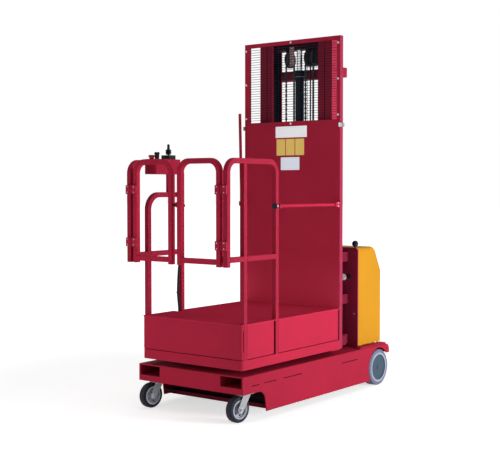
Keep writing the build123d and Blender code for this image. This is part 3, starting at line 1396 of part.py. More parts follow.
def bend_radii(points):
    """Largest arc at each point that leaves both runs some straight length."""
    radii = []
    for before, point, after in zip(points, points[1:], points[2:]):
        run_in = Vector(*point) - Vector(*before)
        run_out = Vector(*after) - Vector(*point)
        half_turn = math.radians(run_in.get_angle(run_out)) / 2
        radii.append(0.45 * min(run_in.length, run_out.length) / math.tan(half_turn))
    return radii


cable_radii = bend_radii(CABLE_ROUTE)
with BuildPart() as control_cable:
    with BuildLine() as route:
        FilletPolyline(*CABLE_ROUTE, radius=cable_radii)
    cable_path = route.wire()
    with BuildSketch(Plane(origin=cable_path @ 0, z_dir=cable_path % 0)):
        Circle(CABLE_R)
    sweep(path=cable_path)
keep(control_cable.part, "control_cable")
print("control cable bend radii", [round(radius) for radius in cable_radii])
section_volume = math.pi * CABLE_R ** 2 * cable_path.length
print("control cable volume", round(control_cable.part.volume), "section by length", round(section_volume))
print("control cable length", round(cable_path.length))
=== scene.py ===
import json
import math

import bmesh
import bpy
from mathutils import Matrix, Vector


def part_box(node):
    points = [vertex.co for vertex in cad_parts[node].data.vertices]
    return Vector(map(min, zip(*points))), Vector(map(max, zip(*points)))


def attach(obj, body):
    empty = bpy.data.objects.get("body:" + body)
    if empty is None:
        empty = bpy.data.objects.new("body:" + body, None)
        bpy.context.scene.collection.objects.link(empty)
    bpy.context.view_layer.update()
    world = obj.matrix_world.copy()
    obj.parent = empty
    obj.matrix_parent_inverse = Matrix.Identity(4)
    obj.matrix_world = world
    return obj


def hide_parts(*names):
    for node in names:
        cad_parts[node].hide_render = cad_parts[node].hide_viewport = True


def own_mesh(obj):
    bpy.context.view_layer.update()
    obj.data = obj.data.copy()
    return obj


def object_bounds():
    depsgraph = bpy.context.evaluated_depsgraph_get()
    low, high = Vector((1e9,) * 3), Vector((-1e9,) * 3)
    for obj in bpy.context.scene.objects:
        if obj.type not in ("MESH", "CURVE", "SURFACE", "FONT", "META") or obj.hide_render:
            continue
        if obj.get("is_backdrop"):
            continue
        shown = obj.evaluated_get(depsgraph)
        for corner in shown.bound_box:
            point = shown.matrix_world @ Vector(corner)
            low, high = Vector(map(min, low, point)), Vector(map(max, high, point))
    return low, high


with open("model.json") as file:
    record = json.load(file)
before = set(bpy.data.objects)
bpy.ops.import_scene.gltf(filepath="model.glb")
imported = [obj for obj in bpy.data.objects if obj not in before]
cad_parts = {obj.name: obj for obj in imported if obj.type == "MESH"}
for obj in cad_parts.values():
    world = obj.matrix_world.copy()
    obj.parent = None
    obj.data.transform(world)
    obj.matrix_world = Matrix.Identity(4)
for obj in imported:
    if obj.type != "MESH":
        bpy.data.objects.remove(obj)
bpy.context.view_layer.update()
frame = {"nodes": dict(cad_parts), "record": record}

nodes = frame["nodes"]
scene = bpy.context.scene

SIDES = ((-1, "left"), (1, "right"))
ALONG_X = (1, 0, 0)
ALONG_Y = (0, 1, 0)
ALONG_Z = (0, 0, 1)
SHARP_ANGLE = 35
SOFT_ANGLE = 50

# Platform, gates and entry bars, in metres
HALF_WIDTH = 0.4125
GATE_Y = -0.90125
GATE_MID_Y = GATE_Y + 0.016
GATE_POSTS_LEFT = (-0.326, -0.042)
GATE_POSTS_RIGHT = (0.326, 0.028)
HINGE_X = 0.352
HINGE_LEVELS = (1.366, 1.046)
HINGE_FACE = GATE_Y - 0.010
PLATFORM_Y = GATE_Y + 0.152
GUARD_Y = PLATFORM_Y + 1.034
RAIL_X = 0.378
TUBE = 0.032
TUBE_WALL = 0.0025
TUBE_END = 0.922
BAR_X = 0.387
BAR_PIVOT = (GUARD_Y - 0.048, 1.267)
BAR_REACH = 0.626
BAR_LEAN = math.radians(1.8)
BOX_TOP = 1.555
STICK = (-0.313, PLATFORM_Y + 0.140, 1.568)
KEY = (-0.295, PLATFORM_Y + 0.014)
CABLE_TIE = (-0.3705, PLATFORM_Y + 0.291, 0.70)

# Chassis and wheels
CHASSIS_TOP = 0.278
NOTCH_Y = PLATFORM_Y + 0.200
SEAM_X = (0.400, 0.4122)
SEAM_Z = (0.2145, 0.2205)
BULKHEAD_Y = PLATFORM_Y + 1.336
DRIVE_Y = PLATFORM_Y + 1.518
DRIVE_Z = 0.125
CASTER_PIN = (0.345, PLATFORM_Y + 0.061)
CASTER_TURN = math.radians(-9)
CASTER_TRAIL = 0.048
CASTER_Z = 0.078
CASTER_LEG = 0.032
CASTER_WALL = 0.024

# Mast, chains and trailing cable
MAST_Y = GUARD_Y + 0.050
MAST_REAR = MAST_Y + 0.110
MAST_MID_Y = GUARD_Y + 0.105
SHEAVE_Z = 2.258
CHAIN_X = 0.080
CHAIN_Y = 0.0473
CABLE_X = 0.122
CABLE_Y = 0.0493
CHAIN_END_Z = 0.600
LUG_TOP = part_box("chain_fixed_runs")[0].z
STROKE = 1.2


# Materials
DRIFT_BAND = (0.32, 0.68)
ROUGH_BAND = (0.3, 0.7)
ROUGH_SPREAD = 0.05
ROUGH_LEAST = 0.02
BUMP_DEPTH = 0.0006
MIX_SHARE, MIX_UNDER, MIX_OVER, MIX_COLOUR = 0, 6, 7, 2


def node_at(tree, kind, x, y):
    made = tree.nodes.new(kind)
    made.location = (x, y)
    return made


def finish(
    name, colour, rough, metal=0.0, shade=0.06, grain=9.0, bump=0.0, bump_grain=900.0, shine=0.3, glow=0.0
):
    """Procedural finish: the colour drifts a little over the piece, and a fine grain catches the light."""
    mat = bpy.data.materials.new(name)
    mat.use_nodes = True
    tree = mat.node_tree
    shader = tree.nodes["Principled BSDF"]
    place = node_at(tree, "ShaderNodeTexCoord", -1100, 0)
    drift = node_at(tree, "ShaderNodeTexNoise", -900, 150)
    drift.inputs["Scale"].default_value = grain
    drift.inputs["Detail"].default_value = 3.0
    ramp = node_at(tree, "ShaderNodeValToRGB", -650, 150)
    darker = [c * (1 - shade) for c in colour]
    lighter = [min(1.0, c * (1 + shade)) for c in colour]
    for element, position, value in zip(ramp.color_ramp.elements, DRIFT_BAND, (darker, lighter)):
        element.position = position
        element.color = (*value, 1)
    spread = node_at(tree, "ShaderNodeMapRange", -650, -150)
    spread.inputs["From Min"].default_value = ROUGH_BAND[0]
    spread.inputs["From Max"].default_value = ROUGH_BAND[1]
    spread.inputs["To Min"].default_value = max(ROUGH_LEAST, rough - ROUGH_SPREAD)
    spread.inputs["To Max"].default_value = min(1.0, rough + ROUGH_SPREAD)
    tree.links.new(place.outputs["Object"], drift.inputs["Vector"])
    tree.links.new(drift.outputs["Fac"], ramp.inputs["Fac"])
    tree.links.new(drift.outputs["Fac"], spread.inputs["Value"])
    tree.links.new(ramp.outputs["Color"], shader.inputs["Base Color"])
    tree.links.new(spread.outputs["Result"], shader.inputs["Roughness"])
    shader.inputs["Metallic"].default_value = metal
    shader.inputs["Specular IOR Level"].default_value = shine
    # A glow makes the colour shine by itself: painted light
    if glow:
        tree.links.new(ramp.outputs["Color"], shader.inputs["Emission Color"])
        shader.inputs["Emission Strength"].default_value = glow
    if bump:
        fine = node_at(tree, "ShaderNodeTexNoise", -650, -450)
        fine.inputs["Scale"].default_value = bump_grain
        fine.inputs["Detail"].default_value = 2.0
        lift = node_at(tree, "ShaderNodeBump", -350, -450)
        lift.inputs["Strength"].default_value = bump
        lift.inputs["Distance"].default_value = BUMP_DEPTH
        tree.links.new(place.outputs["Object"], fine.inputs["Vector"])
        tree.links.new(fine.outputs["Fac"], lift.inputs["Height"])
        tree.links.new(lift.outputs["Normal"], shader.inputs["Normal"])
    return mat


def joined(tree, operation, values, x, y):
    """Join several values into one with a chain of math nodes."""
    result = values[0]
    for step, value in enumerate(values[1:]):
        link = node_at(tree, "ShaderNodeMath", x + 200 * step, y)
        link.operation = operation
        tree.links.new(result, link.inputs[0])
        tree.links.new(value, link.inputs[1])
        result = link.outputs["Value"]
    return result


def own_place(tree, y):
    """The three coordinates of the object's own space."""
    place = node_at(tree, "ShaderNodeTexCoord", -1500, y)
    split = node_at(tree, "ShaderNodeSeparateXYZ", -1300, y)
    tree.links.new(place.outputs["Object"], split.inputs["Vector"])
    return split.outputs


def blend_over(mat, share, colour):
    """Lay another colour over a finish by a share from 0 to 1."""
    tree = mat.node_tree
    base = tree.nodes["Principled BSDF"].inputs["Base Color"]
    plain = base.links[0].from_socket
    blend = node_at(tree, "ShaderNodeMix", -300, 350)
    blend.data_type = "RGBA"
    tree.links.new(share, blend.inputs[MIX_SHARE])
    tree.links.new(plain, blend.inputs[MIX_UNDER])
    blend.inputs[MIX_OVER].default_value = (*colour, 1)
    tree.links.new(blend.outputs[MIX_COLOUR], base)


def tint_within(mat, low, high, colour):
    """Give a finish another colour inside a box of the object's own space."""
    tree = mat.node_tree
    inside = []
    for index, coordinate in enumerate(own_place(tree, 600)):
        near = node_at(tree, "ShaderNodeMath", -1100, 750 - 150 * index)
        near.operation = "COMPARE"
        near.inputs[1].default_value = (low[index] + high[index]) / 2
        near.inputs[2].default_value = (high[index] - low[index]) / 2
        tree.links.new(coordinate, near.inputs[0])
        inside.append(near.outputs["Value"])
    blend_over(mat, joined(tree, "MULTIPLY", inside, -900, 700), colour)


def fade_below(mat, low, high, colour):
    """Blend a finish towards another colour from one height down to a lower one."""
    tree = mat.node_tree
    fade = node_at(tree, "ShaderNodeMapRange", -1000, 1000)
    fade.interpolation_type = "SMOOTHSTEP"
    fade.inputs["From Min"].default_value = low
    fade.inputs["From Max"].default_value = high
    fade.inputs["To Min"].default_value = 1.0
    fade.inputs["To Max"].default_value = 0.0
    tree.links.new(own_place(tree, 1000)["Z"], fade.inputs["Value"])
    blend_over(mat, fade.outputs["Result"], colour)


PAINT = {"grain": 4.0, "bump": 0.12, "bump_grain": 700.0}


def red(name, colour, shade, rough=0.7, shine=0.06):
    return finish(name, colour, rough, shade=shade, shine=shine, **PAINT)


looks = {
    "red_paint": red("red_paint", (0.475, 0.0195, 0.054), 0.05),
    "yellow_paint": finish("yellow_paint", (0.555, 0.249, 0.011), 0.6, shade=0.03, shine=0.08, **PAINT),
    "dark_paint": finish("dark_paint", (0.006, 0.010, 0.026), 0.45, shade=0.12, shine=0.12),
    "zinc_steel": finish("zinc_steel", (0.52, 0.53, 0.54), 0.38, metal=0.85, shade=0.12, grain=60.0),
    "chain_steel": finish("chain_steel", (0.05, 0.05, 0.055), 0.45, metal=0.6, shade=0.2, grain=80.0),
    "rod_chrome": finish("rod_chrome", (0.82, 0.84, 0.88), 0.22, metal=1.0, shade=0.03),
    "drive_tread": finish("drive_tread", (0.135, 0.14, 0.21), 0.6, shade=0.06, grain=20.0, bump=0.2),
    "caster_tread": finish(
        "caster_tread", (0.016, 0.018, 0.027), 0.6, shade=0.15, grain=20.0, bump=0.2, shine=0.15
    ),
    "hub_paint": finish("hub_paint", (0.024, 0.053, 0.087), 0.5, shade=0.1, grain=20.0),
    "rim_plastic": finish("rim_plastic", (0.36, 0.38, 0.45), 0.45, shade=0.05, grain=30.0),
    "black_plastic": finish("black_plastic", (0.006, 0.007, 0.013), 0.5, shade=0.15, grain=40.0, shine=0.14),
    "red_plastic": finish("red_plastic", (0.5, 0.012, 0.018), 0.25, shade=0.04, grain=30.0),
    "cable_rubber": finish("cable_rubber", (0.006, 0.006, 0.012), 0.55, shade=0.15, grain=50.0, shine=0.14),
    "battery_case": finish("battery_case", (0.015, 0.015, 0.018), 0.5, shade=0.12, bump=0.2),
    "power_metal": finish("power_metal", (0.035, 0.035, 0.042), 0.5, shade=0.12, bump=0.2),
}
# Copies of the red paint for single pieces, lighter or darker than it: painted light on the deck and the
# guard, painted shade on the rails, mast, cross members, inner channels, head beam, chassis plate, side
# plates, front beam, fork pockets, control box, floor pan and bulkhead
deck_red = red("deck_red", (0.56, 0.031, 0.075), 0.05, rough=0.95, shine=0.0)
rail_red = red("rail_red", (0.38, 0.0175, 0.048), 0.05)
guard_red = red("guard_red", (0.58, 0.028, 0.07), 0.05)
mast_red = red("mast_red", (0.42, 0.028, 0.062), 0.1)
cross_red = red("cross_red", (0.32, 0.016, 0.04), 0.1)
inner_red = red("inner_red", (0.42, 0.026, 0.062), 0.1)
head_painted_shade = red("head_painted_shade", (0.03, 0.005, 0.01), 0.1, rough=0.6)
chassis_red = red("chassis_red", (0.385, 0.0165, 0.045), 0.06)
side_red = red("side_red", (0.36, 0.0145, 0.041), 0.06)
beam_red = red("beam_red", (0.43, 0.0172, 0.047), 0.06)
pocket_red = red("pocket_red", (0.36, 0.022, 0.045), 0.06, rough=0.8, shine=0.0)
box_red = red("box_red", (0.385, 0.017, 0.046), 0.05)
pan_red = red("pan_red", (0.105, 0.004, 0.012), 0.06)
bulkhead_red = red("bulkhead_red", (0.34, 0.028, 0.085), 0.06)
knob_navy = finish("knob_navy", (0.007, 0.008, 0.024), 0.5, shade=0.12, grain=40.0, shine=0.15)
# The white plastic of the filler cap glows a little: painted light on the cap, which sits in shade
white_plastic = finish("white_plastic", (0.88, 0.86, 0.87), 0.4, shade=0.03, grain=30.0, glow=0.2)
pale_steel = finish("pale_steel", (0.62, 0.65, 0.70), 0.4, shade=0.05, grain=60.0)
dim_zinc = finish("dim_zinc", (0.36, 0.32, 0.33), 0.5, metal=0.4, shade=0.1, grain=60.0)
# Right caster fork: a darker copy of the zinc, painted shade where the key lamp falls
fork_shaded_zinc = finish("fork_shaded_zinc", (0.26, 0.27, 0.29), 0.55, metal=0.4, shade=0.1, grain=60.0)
# Left caster: lighter copies of the zinc, the rim plastic and the steel, painted light on the side that the
# key lamp leaves in shade
fork_left_lit_zinc = finish("fork_left_lit_zinc", (0.47, 0.545, 0.59), 0.55, metal=0.3, shade=0.1, grain=60.0)
lip_left_lit_plastic = finish("lip_left_lit_plastic", (0.86, 0.90, 0.98), 0.45, shade=0.03, grain=30.0)
nut_left_lit_zinc = finish("nut_left_lit_zinc", (0.90, 0.92, 0.95), 0.4, shade=0.03, grain=60.0)
rim_left_lit_plastic = finish("rim_left_lit_plastic", (0.54, 0.58, 0.68), 0.45, shade=0.05, grain=30.0)
pink_zinc = finish("pink_zinc", (0.42, 0.25, 0.25), 0.5, metal=0.2, shade=0.3, grain=90.0)
# Gate bolt: dark maroon, painted shade in the slit where it sits
bolt_shaded_maroon = finish("bolt_shaded_maroon", (0.07, 0.007, 0.015), 0.6, shade=0.1, grain=40.0, shine=0.1)
tyre_ring = finish("tyre_ring", (0.33, 0.385, 0.50), 0.6, shade=0.05, grain=20.0, shine=0.1)
# The plates on the guard glow a little: painted light on plates in shade
plate_white = finish("plate_white", (0.93, 0.95, 0.98), 0.45, shade=0.02, grain=25.0, glow=0.36)
plate_yellow = finish("plate_yellow", (0.80, 0.56, 0.14), 0.45, shade=0.03, grain=25.0, glow=0.3)
plate_pale = finish("plate_pale", (0.80, 0.88, 0.98), 0.45, shade=0.03, grain=25.0, glow=0.35)

# Guard: lighter towards the deck, painted light against the shade that falls there, and darker on its right
# flange, painted shade where the key lamp falls
fade_below(guard_red, 0.58, 0.95, (0.88, 0.062, 0.135))
tint_within(guard_red, (0.3925, -1, 0), (1, 1, 3), (0.345, 0.028, 0.075))

# Mast: lower cross members darker, painted shade behind the guard; the inside of the inner channels near
# black, painted shade; and a bright edge on the left one, a painted highlight
WEB_X = 0.2275
WEB_Y = (MAST_Y + 0.0075, MAST_REAR - 0.0075)
HIGHLIGHT_X = (-0.1935, -0.1865)
tint_within(cross_red, (-1, -1, 0), (1, 2, 1.2), (0.19, 0.011, 0.03))
tint_within(inner_red, (-WEB_X, WEB_Y[0], 0), (WEB_X, WEB_Y[1], 3), (0.006, 0.004, 0.006))
tint_within(inner_red, (HIGHLIGHT_X[0], -1, 0), (HIGHLIGHT_X[1], MAST_Y + 0.0085, 3), (0.80, 0.045, 0.11))

# Left catch knob red, seams of the side plates dark, and the floor pan dark at its ends and behind its lip,
# painted shade
tint_within(knob_navy, (-1, -1, 0), (-0.3, 1, 3), (0.30, 0.014, 0.036))
for side, _ in SIDES:
    seam_x = sorted((side * SEAM_X[0], side * SEAM_X[1]))
    tint_within(side_red, (seam_x[0], -1, SEAM_Z[0]), (seam_x[1], 1, SEAM_Z[1]), (0.012, 0.002, 0.004))
tint_within(pan_red, (-1, -1, 0.05), (-0.30, 1, 0.14), (0.04, 0.003, 0.008))
tint_within(pan_red, (0.25, -1, 0.10), (1, 1, 0.14), (0.012, 0.002, 0.004))
tint_within(pan_red, (-1, NOTCH_Y + 0.0075, -1), (1, 2, 1), (0.012, 0.004, 0.006))

own_look = {
    "deck_plate": deck_red,
    "back_guard": guard_red,
    "mast_uprights": mast_red,
    "carriage": mast_red,
    "mast_crossbars": cross_red,
    "inner_uprights": inner_red,
    "inner_crossbars": head_painted_shade,
    "floor_pan": pan_red,
    "bulkhead": bulkhead_red,
    "release_knob": knob_navy,
    "bar_catches": knob_navy,
    "gate_bolt": bolt_shaded_maroon,
    "front_beam": beam_red,
    "fork_pockets": pocket_red,
    "chassis_plate": chassis_red,
    "side_plate_left": side_red,
    "side_plate_right": side_red,
    "control_box": box_red,
    "caster_fork_left": fork_left_lit_zinc,
    "caster_rim_left": rim_left_lit_plastic,
    "caster_fork_right": fork_shaded_zinc,
    "rail_hoop_left": rail_red,
    "rail_hoop_right": rail_red,
    "corner_hoop": rail_red,
    "rail_braces": rail_red,
}

slot_of = {part["node"]: part["material_slot"] for part in frame["record"]["subparts"]}
for name, obj in nodes.items():
    obj.data.materials.clear()
    obj.data.materials.append(own_look.get(name, looks[slot_of[name]]))


# Mesh helpers


def piece(name, mesh, body, material):
    """Finish a bmesh as a scene piece that rides on a body."""
    data = bpy.data.meshes.new(name)
    mesh.to_mesh(data)
    mesh.free()
    obj = bpy.data.objects.new(name, data)
    scene.collection.objects.link(obj)
    data.materials.append(material)
    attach(obj, body)
    return obj


def smooth(obj, angle=SHARP_ANGLE):
    """Shade a piece smooth, except at edges sharper than an angle in degrees."""
    for polygon in obj.data.polygons:
        polygon.use_smooth = True
    obj.data.set_sharp_from_angle(angle=math.radians(angle))
    return obj


def add_block(mesh, low, high, bevel=0.0):
    """Block between two corners, with its edges broken."""
    low, high = Vector(low), Vector(high)
    place = Matrix.Translation((low + high) / 2) @ Matrix.Diagonal((*(high - low), 1))
    made = bmesh.ops.create_cube(mesh, size=1.0, matrix=place)
    if bevel:
        edges = list({edge for vert in made["verts"] for edge in vert.link_edges})
        bmesh.ops.bevel(mesh, geom=edges, offset=bevel, segments=2, profile=0.7, affect="EDGES")


def add_disc(mesh, centre, axis, radius, length, sides=24, bevel=0.0):
    """Round head or rod centred on a point, along an axis."""
    turn = Vector(axis).to_track_quat("Z", "Y").to_matrix().to_4x4()
    made = bmesh.ops.create_cone(
        mesh,
        cap_ends=True,
        segments=sides,
        radius1=radius,
        radius2=radius,
        depth=length,
        matrix=Matrix.Translation(centre) @ turn,
    )
    if bevel:
        caps = [face for face in {f for v in made["verts"] for f in v.link_faces} if len(face.verts) > 4]
        edges = list({edge for face in caps for edge in face.edges})
        bmesh.ops.bevel(mesh, geom=edges, offset=bevel, segments=2, profile=0.6, affect="EDGES")


def join_loops(mesh, loops):
    """Skin from each loop of points to the next."""
    for here, there in zip(loops, loops[1:]):
        for corner in range(len(here)):
            after = (corner + 1) % len(here)
            mesh.faces.new((here[corner], here[after], there[after], there[corner]))


def add_ring(mesh, centre, inner, outer, thick, sides=64):
    """Flat ring about a line along X."""
    corners = ((inner, -thick / 2), (outer, -thick / 2), (outer, thick / 2), (inner, thick / 2))
    loops = []
    for index in range(sides):
        angle = 2 * math.pi * index / sides
        spots = [Vector((x, r * math.cos(angle), r * math.sin(angle))) for r, x in corners]
        loops.append([mesh.verts.new(Vector(centre) + spot) for spot in spots])
    join_loops(mesh, loops + loops[:1])
    bmesh.ops.recalc_face_normals(mesh, faces=mesh.faces)


def add_lathe(mesh, centre, outline, sides=40):
    """Ring turned about an upright line, from a closed outline of radius and height pairs."""
    loops = []
    for index in range(sides):
        angle = 2 * math.pi * index / sides
        spots = [Vector((r * math.cos(angle), r * math.sin(angle), z)) for r, z in outline]
        loops.append([mesh.verts.new(Vector(centre) + spot) for spot in spots])
    join_loops(mesh, loops + loops[:1])
    bmesh.ops.recalc_face_normals(mesh, faces=mesh.faces)


# Hinge bolts: two on each leaf
BOLT_R = 0.0048
BOLT_HEAD = 0.0035
BOLT_BEVEL = 0.0008
BOLT_OUT = 0.027
BOLT_UP = 0.0165


def hinge_bolts(name, places, body):
    mesh = bmesh.new()
    for x in places:
        for level in HINGE_LEVELS:
            for up in (-BOLT_UP, BOLT_UP):
                centre = (x, HINGE_FACE - BOLT_HEAD / 2, level + up)
                add_disc(mesh, centre, ALONG_Y, BOLT_R, BOLT_HEAD, sides=6, bevel=BOLT_BEVEL)
    piece(name, mesh, body, dim_zinc)


hinge_bolts("hinge_bolts_fixed", (-HINGE_X - BOLT_OUT, HINGE_X + BOLT_OUT), "platform")
hinge_bolts("hinge_bolts_left", (-HINGE_X + BOLT_OUT,), "gate_leaf_left")
hinge_bolts("hinge_bolts_right", (HINGE_X - BOLT_OUT,), "gate_leaf_right")


# Bare plates on the back guard
PLATE = 0.0012
PLATE_BEVEL = 0.0004
UPPER_X, UPPER_Z = (-0.127, 0.131), (1.719, 1.795)
LOWER_X, LOWER_Z = (-0.083, 0.071), (1.498, 1.585)
MIDDLE_XS, MIDDLE_Z = (-0.083, -0.005, 0.073), (1.598, 1.709)
MIDDLE_HALF = 0.036


def guard_plate(name, x, z, material):
    mesh = bmesh.new()
    add_block(mesh, (x[0], GUARD_Y - PLATE, z[0]), (x[1], GUARD_Y, z[1]), PLATE_BEVEL)
    piece(name, mesh, "platform", material)


guard_plate("plate_upper", UPPER_X, UPPER_Z, plate_white)
guard_plate("plate_lower", LOWER_X, LOWER_Z, plate_pale)
for index, x in enumerate(MIDDLE_XS):
    guard_plate(f"plate_middle_{index + 1}", (x - MIDDLE_HALF, x + MIDDLE_HALF), MIDDLE_Z, plate_yellow)


# Filler cap, hose fitting and screws on the front of the bulkhead
FILLER = (0.238, 0.760)
CAP_R, CAP_DEEP = 0.0215, 0.019
FITTING = (0.281, 0.768)
FITTING_R, FITTING_DEEP = 0.014, 0.014
TIP_R, TIP_DEEP, TIP_OUT = 0.008, 0.012, 0.012
SCREW_X, SCREW_Z = 0.322, 0.51
SCREW_R, SCREW_DEEP = 0.008, 0.004


def add_on_bulkhead(mesh, spot, radius, deep, sides, bevel, out=0.0):
    """Round fitting on the front of the bulkhead, or some way out from it."""
    centre = (spot[0], BULKHEAD_Y - out - deep / 2, spot[1])
    add_disc(mesh, centre, ALONG_Y, radius, deep, sides=sides, bevel=bevel)


mesh = bmesh.new()
add_on_bulkhead(mesh, FILLER, CAP_R, CAP_DEEP, sides=32, bevel=0.003)
smooth(piece("filler_cap", mesh, "chassis", white_plastic))
mesh = bmesh.new()
add_on_bulkhead(mesh, FITTING, FITTING_R, FITTING_DEEP, sides=24, bevel=0.002)
add_on_bulkhead(mesh, FITTING, TIP_R, TIP_DEEP, sides=6, bevel=0.001, out=TIP_OUT)
smooth(piece("hose_fitting", mesh, "chassis", looks["black_plastic"]))
mesh = bmesh.new()
for x in (SCREW_X, -SCREW_X):
    add_on_bulkhead(mesh, (x, SCREW_Z), SCREW_R, SCREW_DEEP, sides=24, bevel=0.001)
smooth(piece("bulkhead_screws", mesh, "chassis", looks["zinc_steel"]))


# Edge strips on the chassis beside the hood
STRIP_X = (0.353, 0.4062)
STRIP_Y = (BULKHEAD_Y - 0.050, BULKHEAD_Y + 0.290)
STRIP_TOP = CHASSIS_TOP + 0.0095
STRIP_BEVEL = 0.004
for side, side_name in SIDES:
    mesh = bmesh.new()
    strip_x = sorted((side * STRIP_X[0], side * STRIP_X[1]))
    low = (strip_x[0], STRIP_Y[0], CHASSIS_TOP)
    high = (strip_x[1], STRIP_Y[1], STRIP_TOP)
    add_block(mesh, low, high, STRIP_BEVEL)
    smooth(piece(f"edge_strip_{side_name}", mesh, "chassis", side_red), SOFT_ANGLE)


# Casters: washers under the axle nuts, and lips of the rims on the tyre walls
WASHER_R = 0.0145
WASHER = 0.0026
WASHER_BEVEL = 0.0008
WASHER_OUT = CASTER_LEG + 0.0012
LIP_INNER = 0.0506
LIP_OUTER = 0.0560
LIP_THICK = 0.0016
caster_axle = Vector((math.cos(CASTER_TURN), math.sin(CASTER_TURN), 0))


def caster_centre(side):
    x = side * CASTER_PIN[0] + CASTER_TRAIL * math.sin(CASTER_TURN)
    y = CASTER_PIN[1] - CASTER_TRAIL * math.cos(CASTER_TURN)
    return Vector((x, y, CASTER_Z))


# The left washers take a lighter copy of the steel: painted light
for (side, side_name), look in zip(SIDES, (nut_left_lit_zinc, pale_steel)):
    mesh = bmesh.new()
    for face in (-1, 1):
        spot = caster_centre(side) + caster_axle * face * WASHER_OUT
        add_disc(mesh, spot, caster_axle, WASHER_R, WASHER, sides=32, bevel=WASHER_BEVEL)
    smooth(piece(f"caster_washers_{side_name}", mesh, f"caster_swivel_{side_name}", look))

# The left lips take a lighter copy of the rim plastic: painted light
for (side, side_name), look in zip(SIDES, (lip_left_lit_plastic, looks["rim_plastic"])):
    mesh = bmesh.new()
    for face in (-1, 1):
        add_ring(mesh, (face * CASTER_WALL, 0, 0), LIP_INNER, LIP_OUTER, LIP_THICK)
    turned = Matrix.Translation(caster_centre(side)) @ Matrix.Rotation(CASTER_TURN, 4, "Z")
    bmesh.ops.transform(mesh, matrix=turned, verts=mesh.verts)
    smooth(piece(f"rim_lips_{side_name}", mesh, f"caster_wheel_{side_name}", look))


# Plugs in the open ends of the tubes and of the entry bars
PLUG = TUBE / 2 - TUBE_WALL
PLUG_Z = (TUBE_END + 0.0005, TUBE_END + 0.008)
PLUG_BEVEL = 0.001
BAR_PLUG_R = 0.0074
BAR_PLUG = 0.006
BAR_PLUG_IN = 0.004


def tube_plugs(name, xs, body):
    mesh = bmesh.new()
    for x in xs:
        low = (x - PLUG, GATE_MID_Y - PLUG, PLUG_Z[0])
        high = (x + PLUG, GATE_MID_Y + PLUG, PLUG_Z[1])
        add_block(mesh, low, high, PLUG_BEVEL)
    piece(name, mesh, body, looks["black_plastic"])


tube_plugs("tube_plugs_rails", (-RAIL_X, RAIL_X), "platform")
tube_plugs("tube_plugs_gate_left", GATE_POSTS_LEFT, "gate_leaf_left")
tube_plugs("tube_plugs_gate_right", GATE_POSTS_RIGHT, "gate_leaf_right")

raised = Vector((0, -math.sin(BAR_LEAN), math.cos(BAR_LEAN)))
lowered = Vector((0, -1, 0))
for (side, side_name), heading in zip(SIDES, (raised, lowered)):
    mesh = bmesh.new()
    end = Vector((side * BAR_X, *BAR_PIVOT)) + heading * (BAR_REACH - BAR_PLUG_IN)
    add_disc(mesh, end, heading, BAR_PLUG_R, BAR_PLUG, sides=24)
    piece(f"bar_plug_{side_name}", mesh, f"side_bar_{side_name}", looks["black_plastic"])


# Drive wheels: centre cap on the hub face and pale ring on the tyre wall
HUB_CAP_R = 0.016
HUB_CAP = 0.0024
HUB_CAP_OUT = 0.0008
HUB_CAP_BEVEL = 0.0008
PALE_INNER = 0.089
PALE_OUTER = 0.101
PALE_THICK = 0.0012
for side, side_name in SIDES:
    low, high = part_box(f"drive_hub_{side_name}")
    face = high.x if side > 0 else low.x
    mesh = bmesh.new()
    cap_centre = (face + side * HUB_CAP_OUT, DRIVE_Y, DRIVE_Z)
    add_disc(mesh, cap_centre, ALONG_X, HUB_CAP_R, HUB_CAP, sides=32, bevel=HUB_CAP_BEVEL)
    smooth(piece(f"hub_cap_{side_name}", mesh, f"drive_wheel_{side_name}", looks["hub_paint"]))
    mesh = bmesh.new()
    add_ring(mesh, (side * HALF_WIDTH, DRIVE_Y, DRIVE_Z), PALE_INNER, PALE_OUTER, PALE_THICK)
    smooth(piece(f"tyre_ring_{side_name}", mesh, f"drive_wheel_{side_name}", tyre_ring))


# Ring at the foot of the cylinder's gland
GLAND_Z = 2.1365
GLAND_R = 0.0347
GLAND = 0.003
mesh = bmesh.new()
add_disc(mesh, (0, MAST_MID_Y, GLAND_Z), ALONG_Z, GLAND_R, GLAND, sides=48)
smooth(piece("gland_ring", mesh, "chassis", pale_steel))


# Hose plate under the head beam, with its bolts
HOSE_X = (-0.063, -0.024)
HOSE_Y = (MAST_MID_Y - 0.0335, MAST_MID_Y - 0.030)
HOSE_Z = (2.215, 2.345)
HOSE_BEVEL = 0.0006
HOSE_BOLTS = ((-0.052, 2.232), (-0.035, 2.245), (-0.050, 2.268), (-0.036, 2.284), (-0.0435, 2.33))
HOSE_BOLT_Y = MAST_MID_Y - 0.035
HOSE_BOLT_R = 0.005
HOSE_BOLT = 0.004
mesh = bmesh.new()
add_block(mesh, (HOSE_X[0], HOSE_Y[0], HOSE_Z[0]), (HOSE_X[1], HOSE_Y[1], HOSE_Z[1]), HOSE_BEVEL)
piece("hose_plate", mesh, "inner_mast", pink_zinc)
mesh = bmesh.new()
for x, z in HOSE_BOLTS:
    add_disc(mesh, (x, HOSE_BOLT_Y, z), ALONG_Y, HOSE_BOLT_R, HOSE_BOLT, sides=6)
piece("hose_plate_bolts", mesh, "inner_mast", pale_steel)


# Tie on the control cable
TIE_R = 0.0098
TIE = 0.007
TIE_BEVEL = 0.001
mesh = bmesh.new()
add_disc(mesh, CABLE_TIE, ALONG_Z, TIE_R, TIE, sides=24, bevel=TIE_BEVEL)
smooth(piece("cable_tie", mesh, "platform", looks["black_plastic"]))


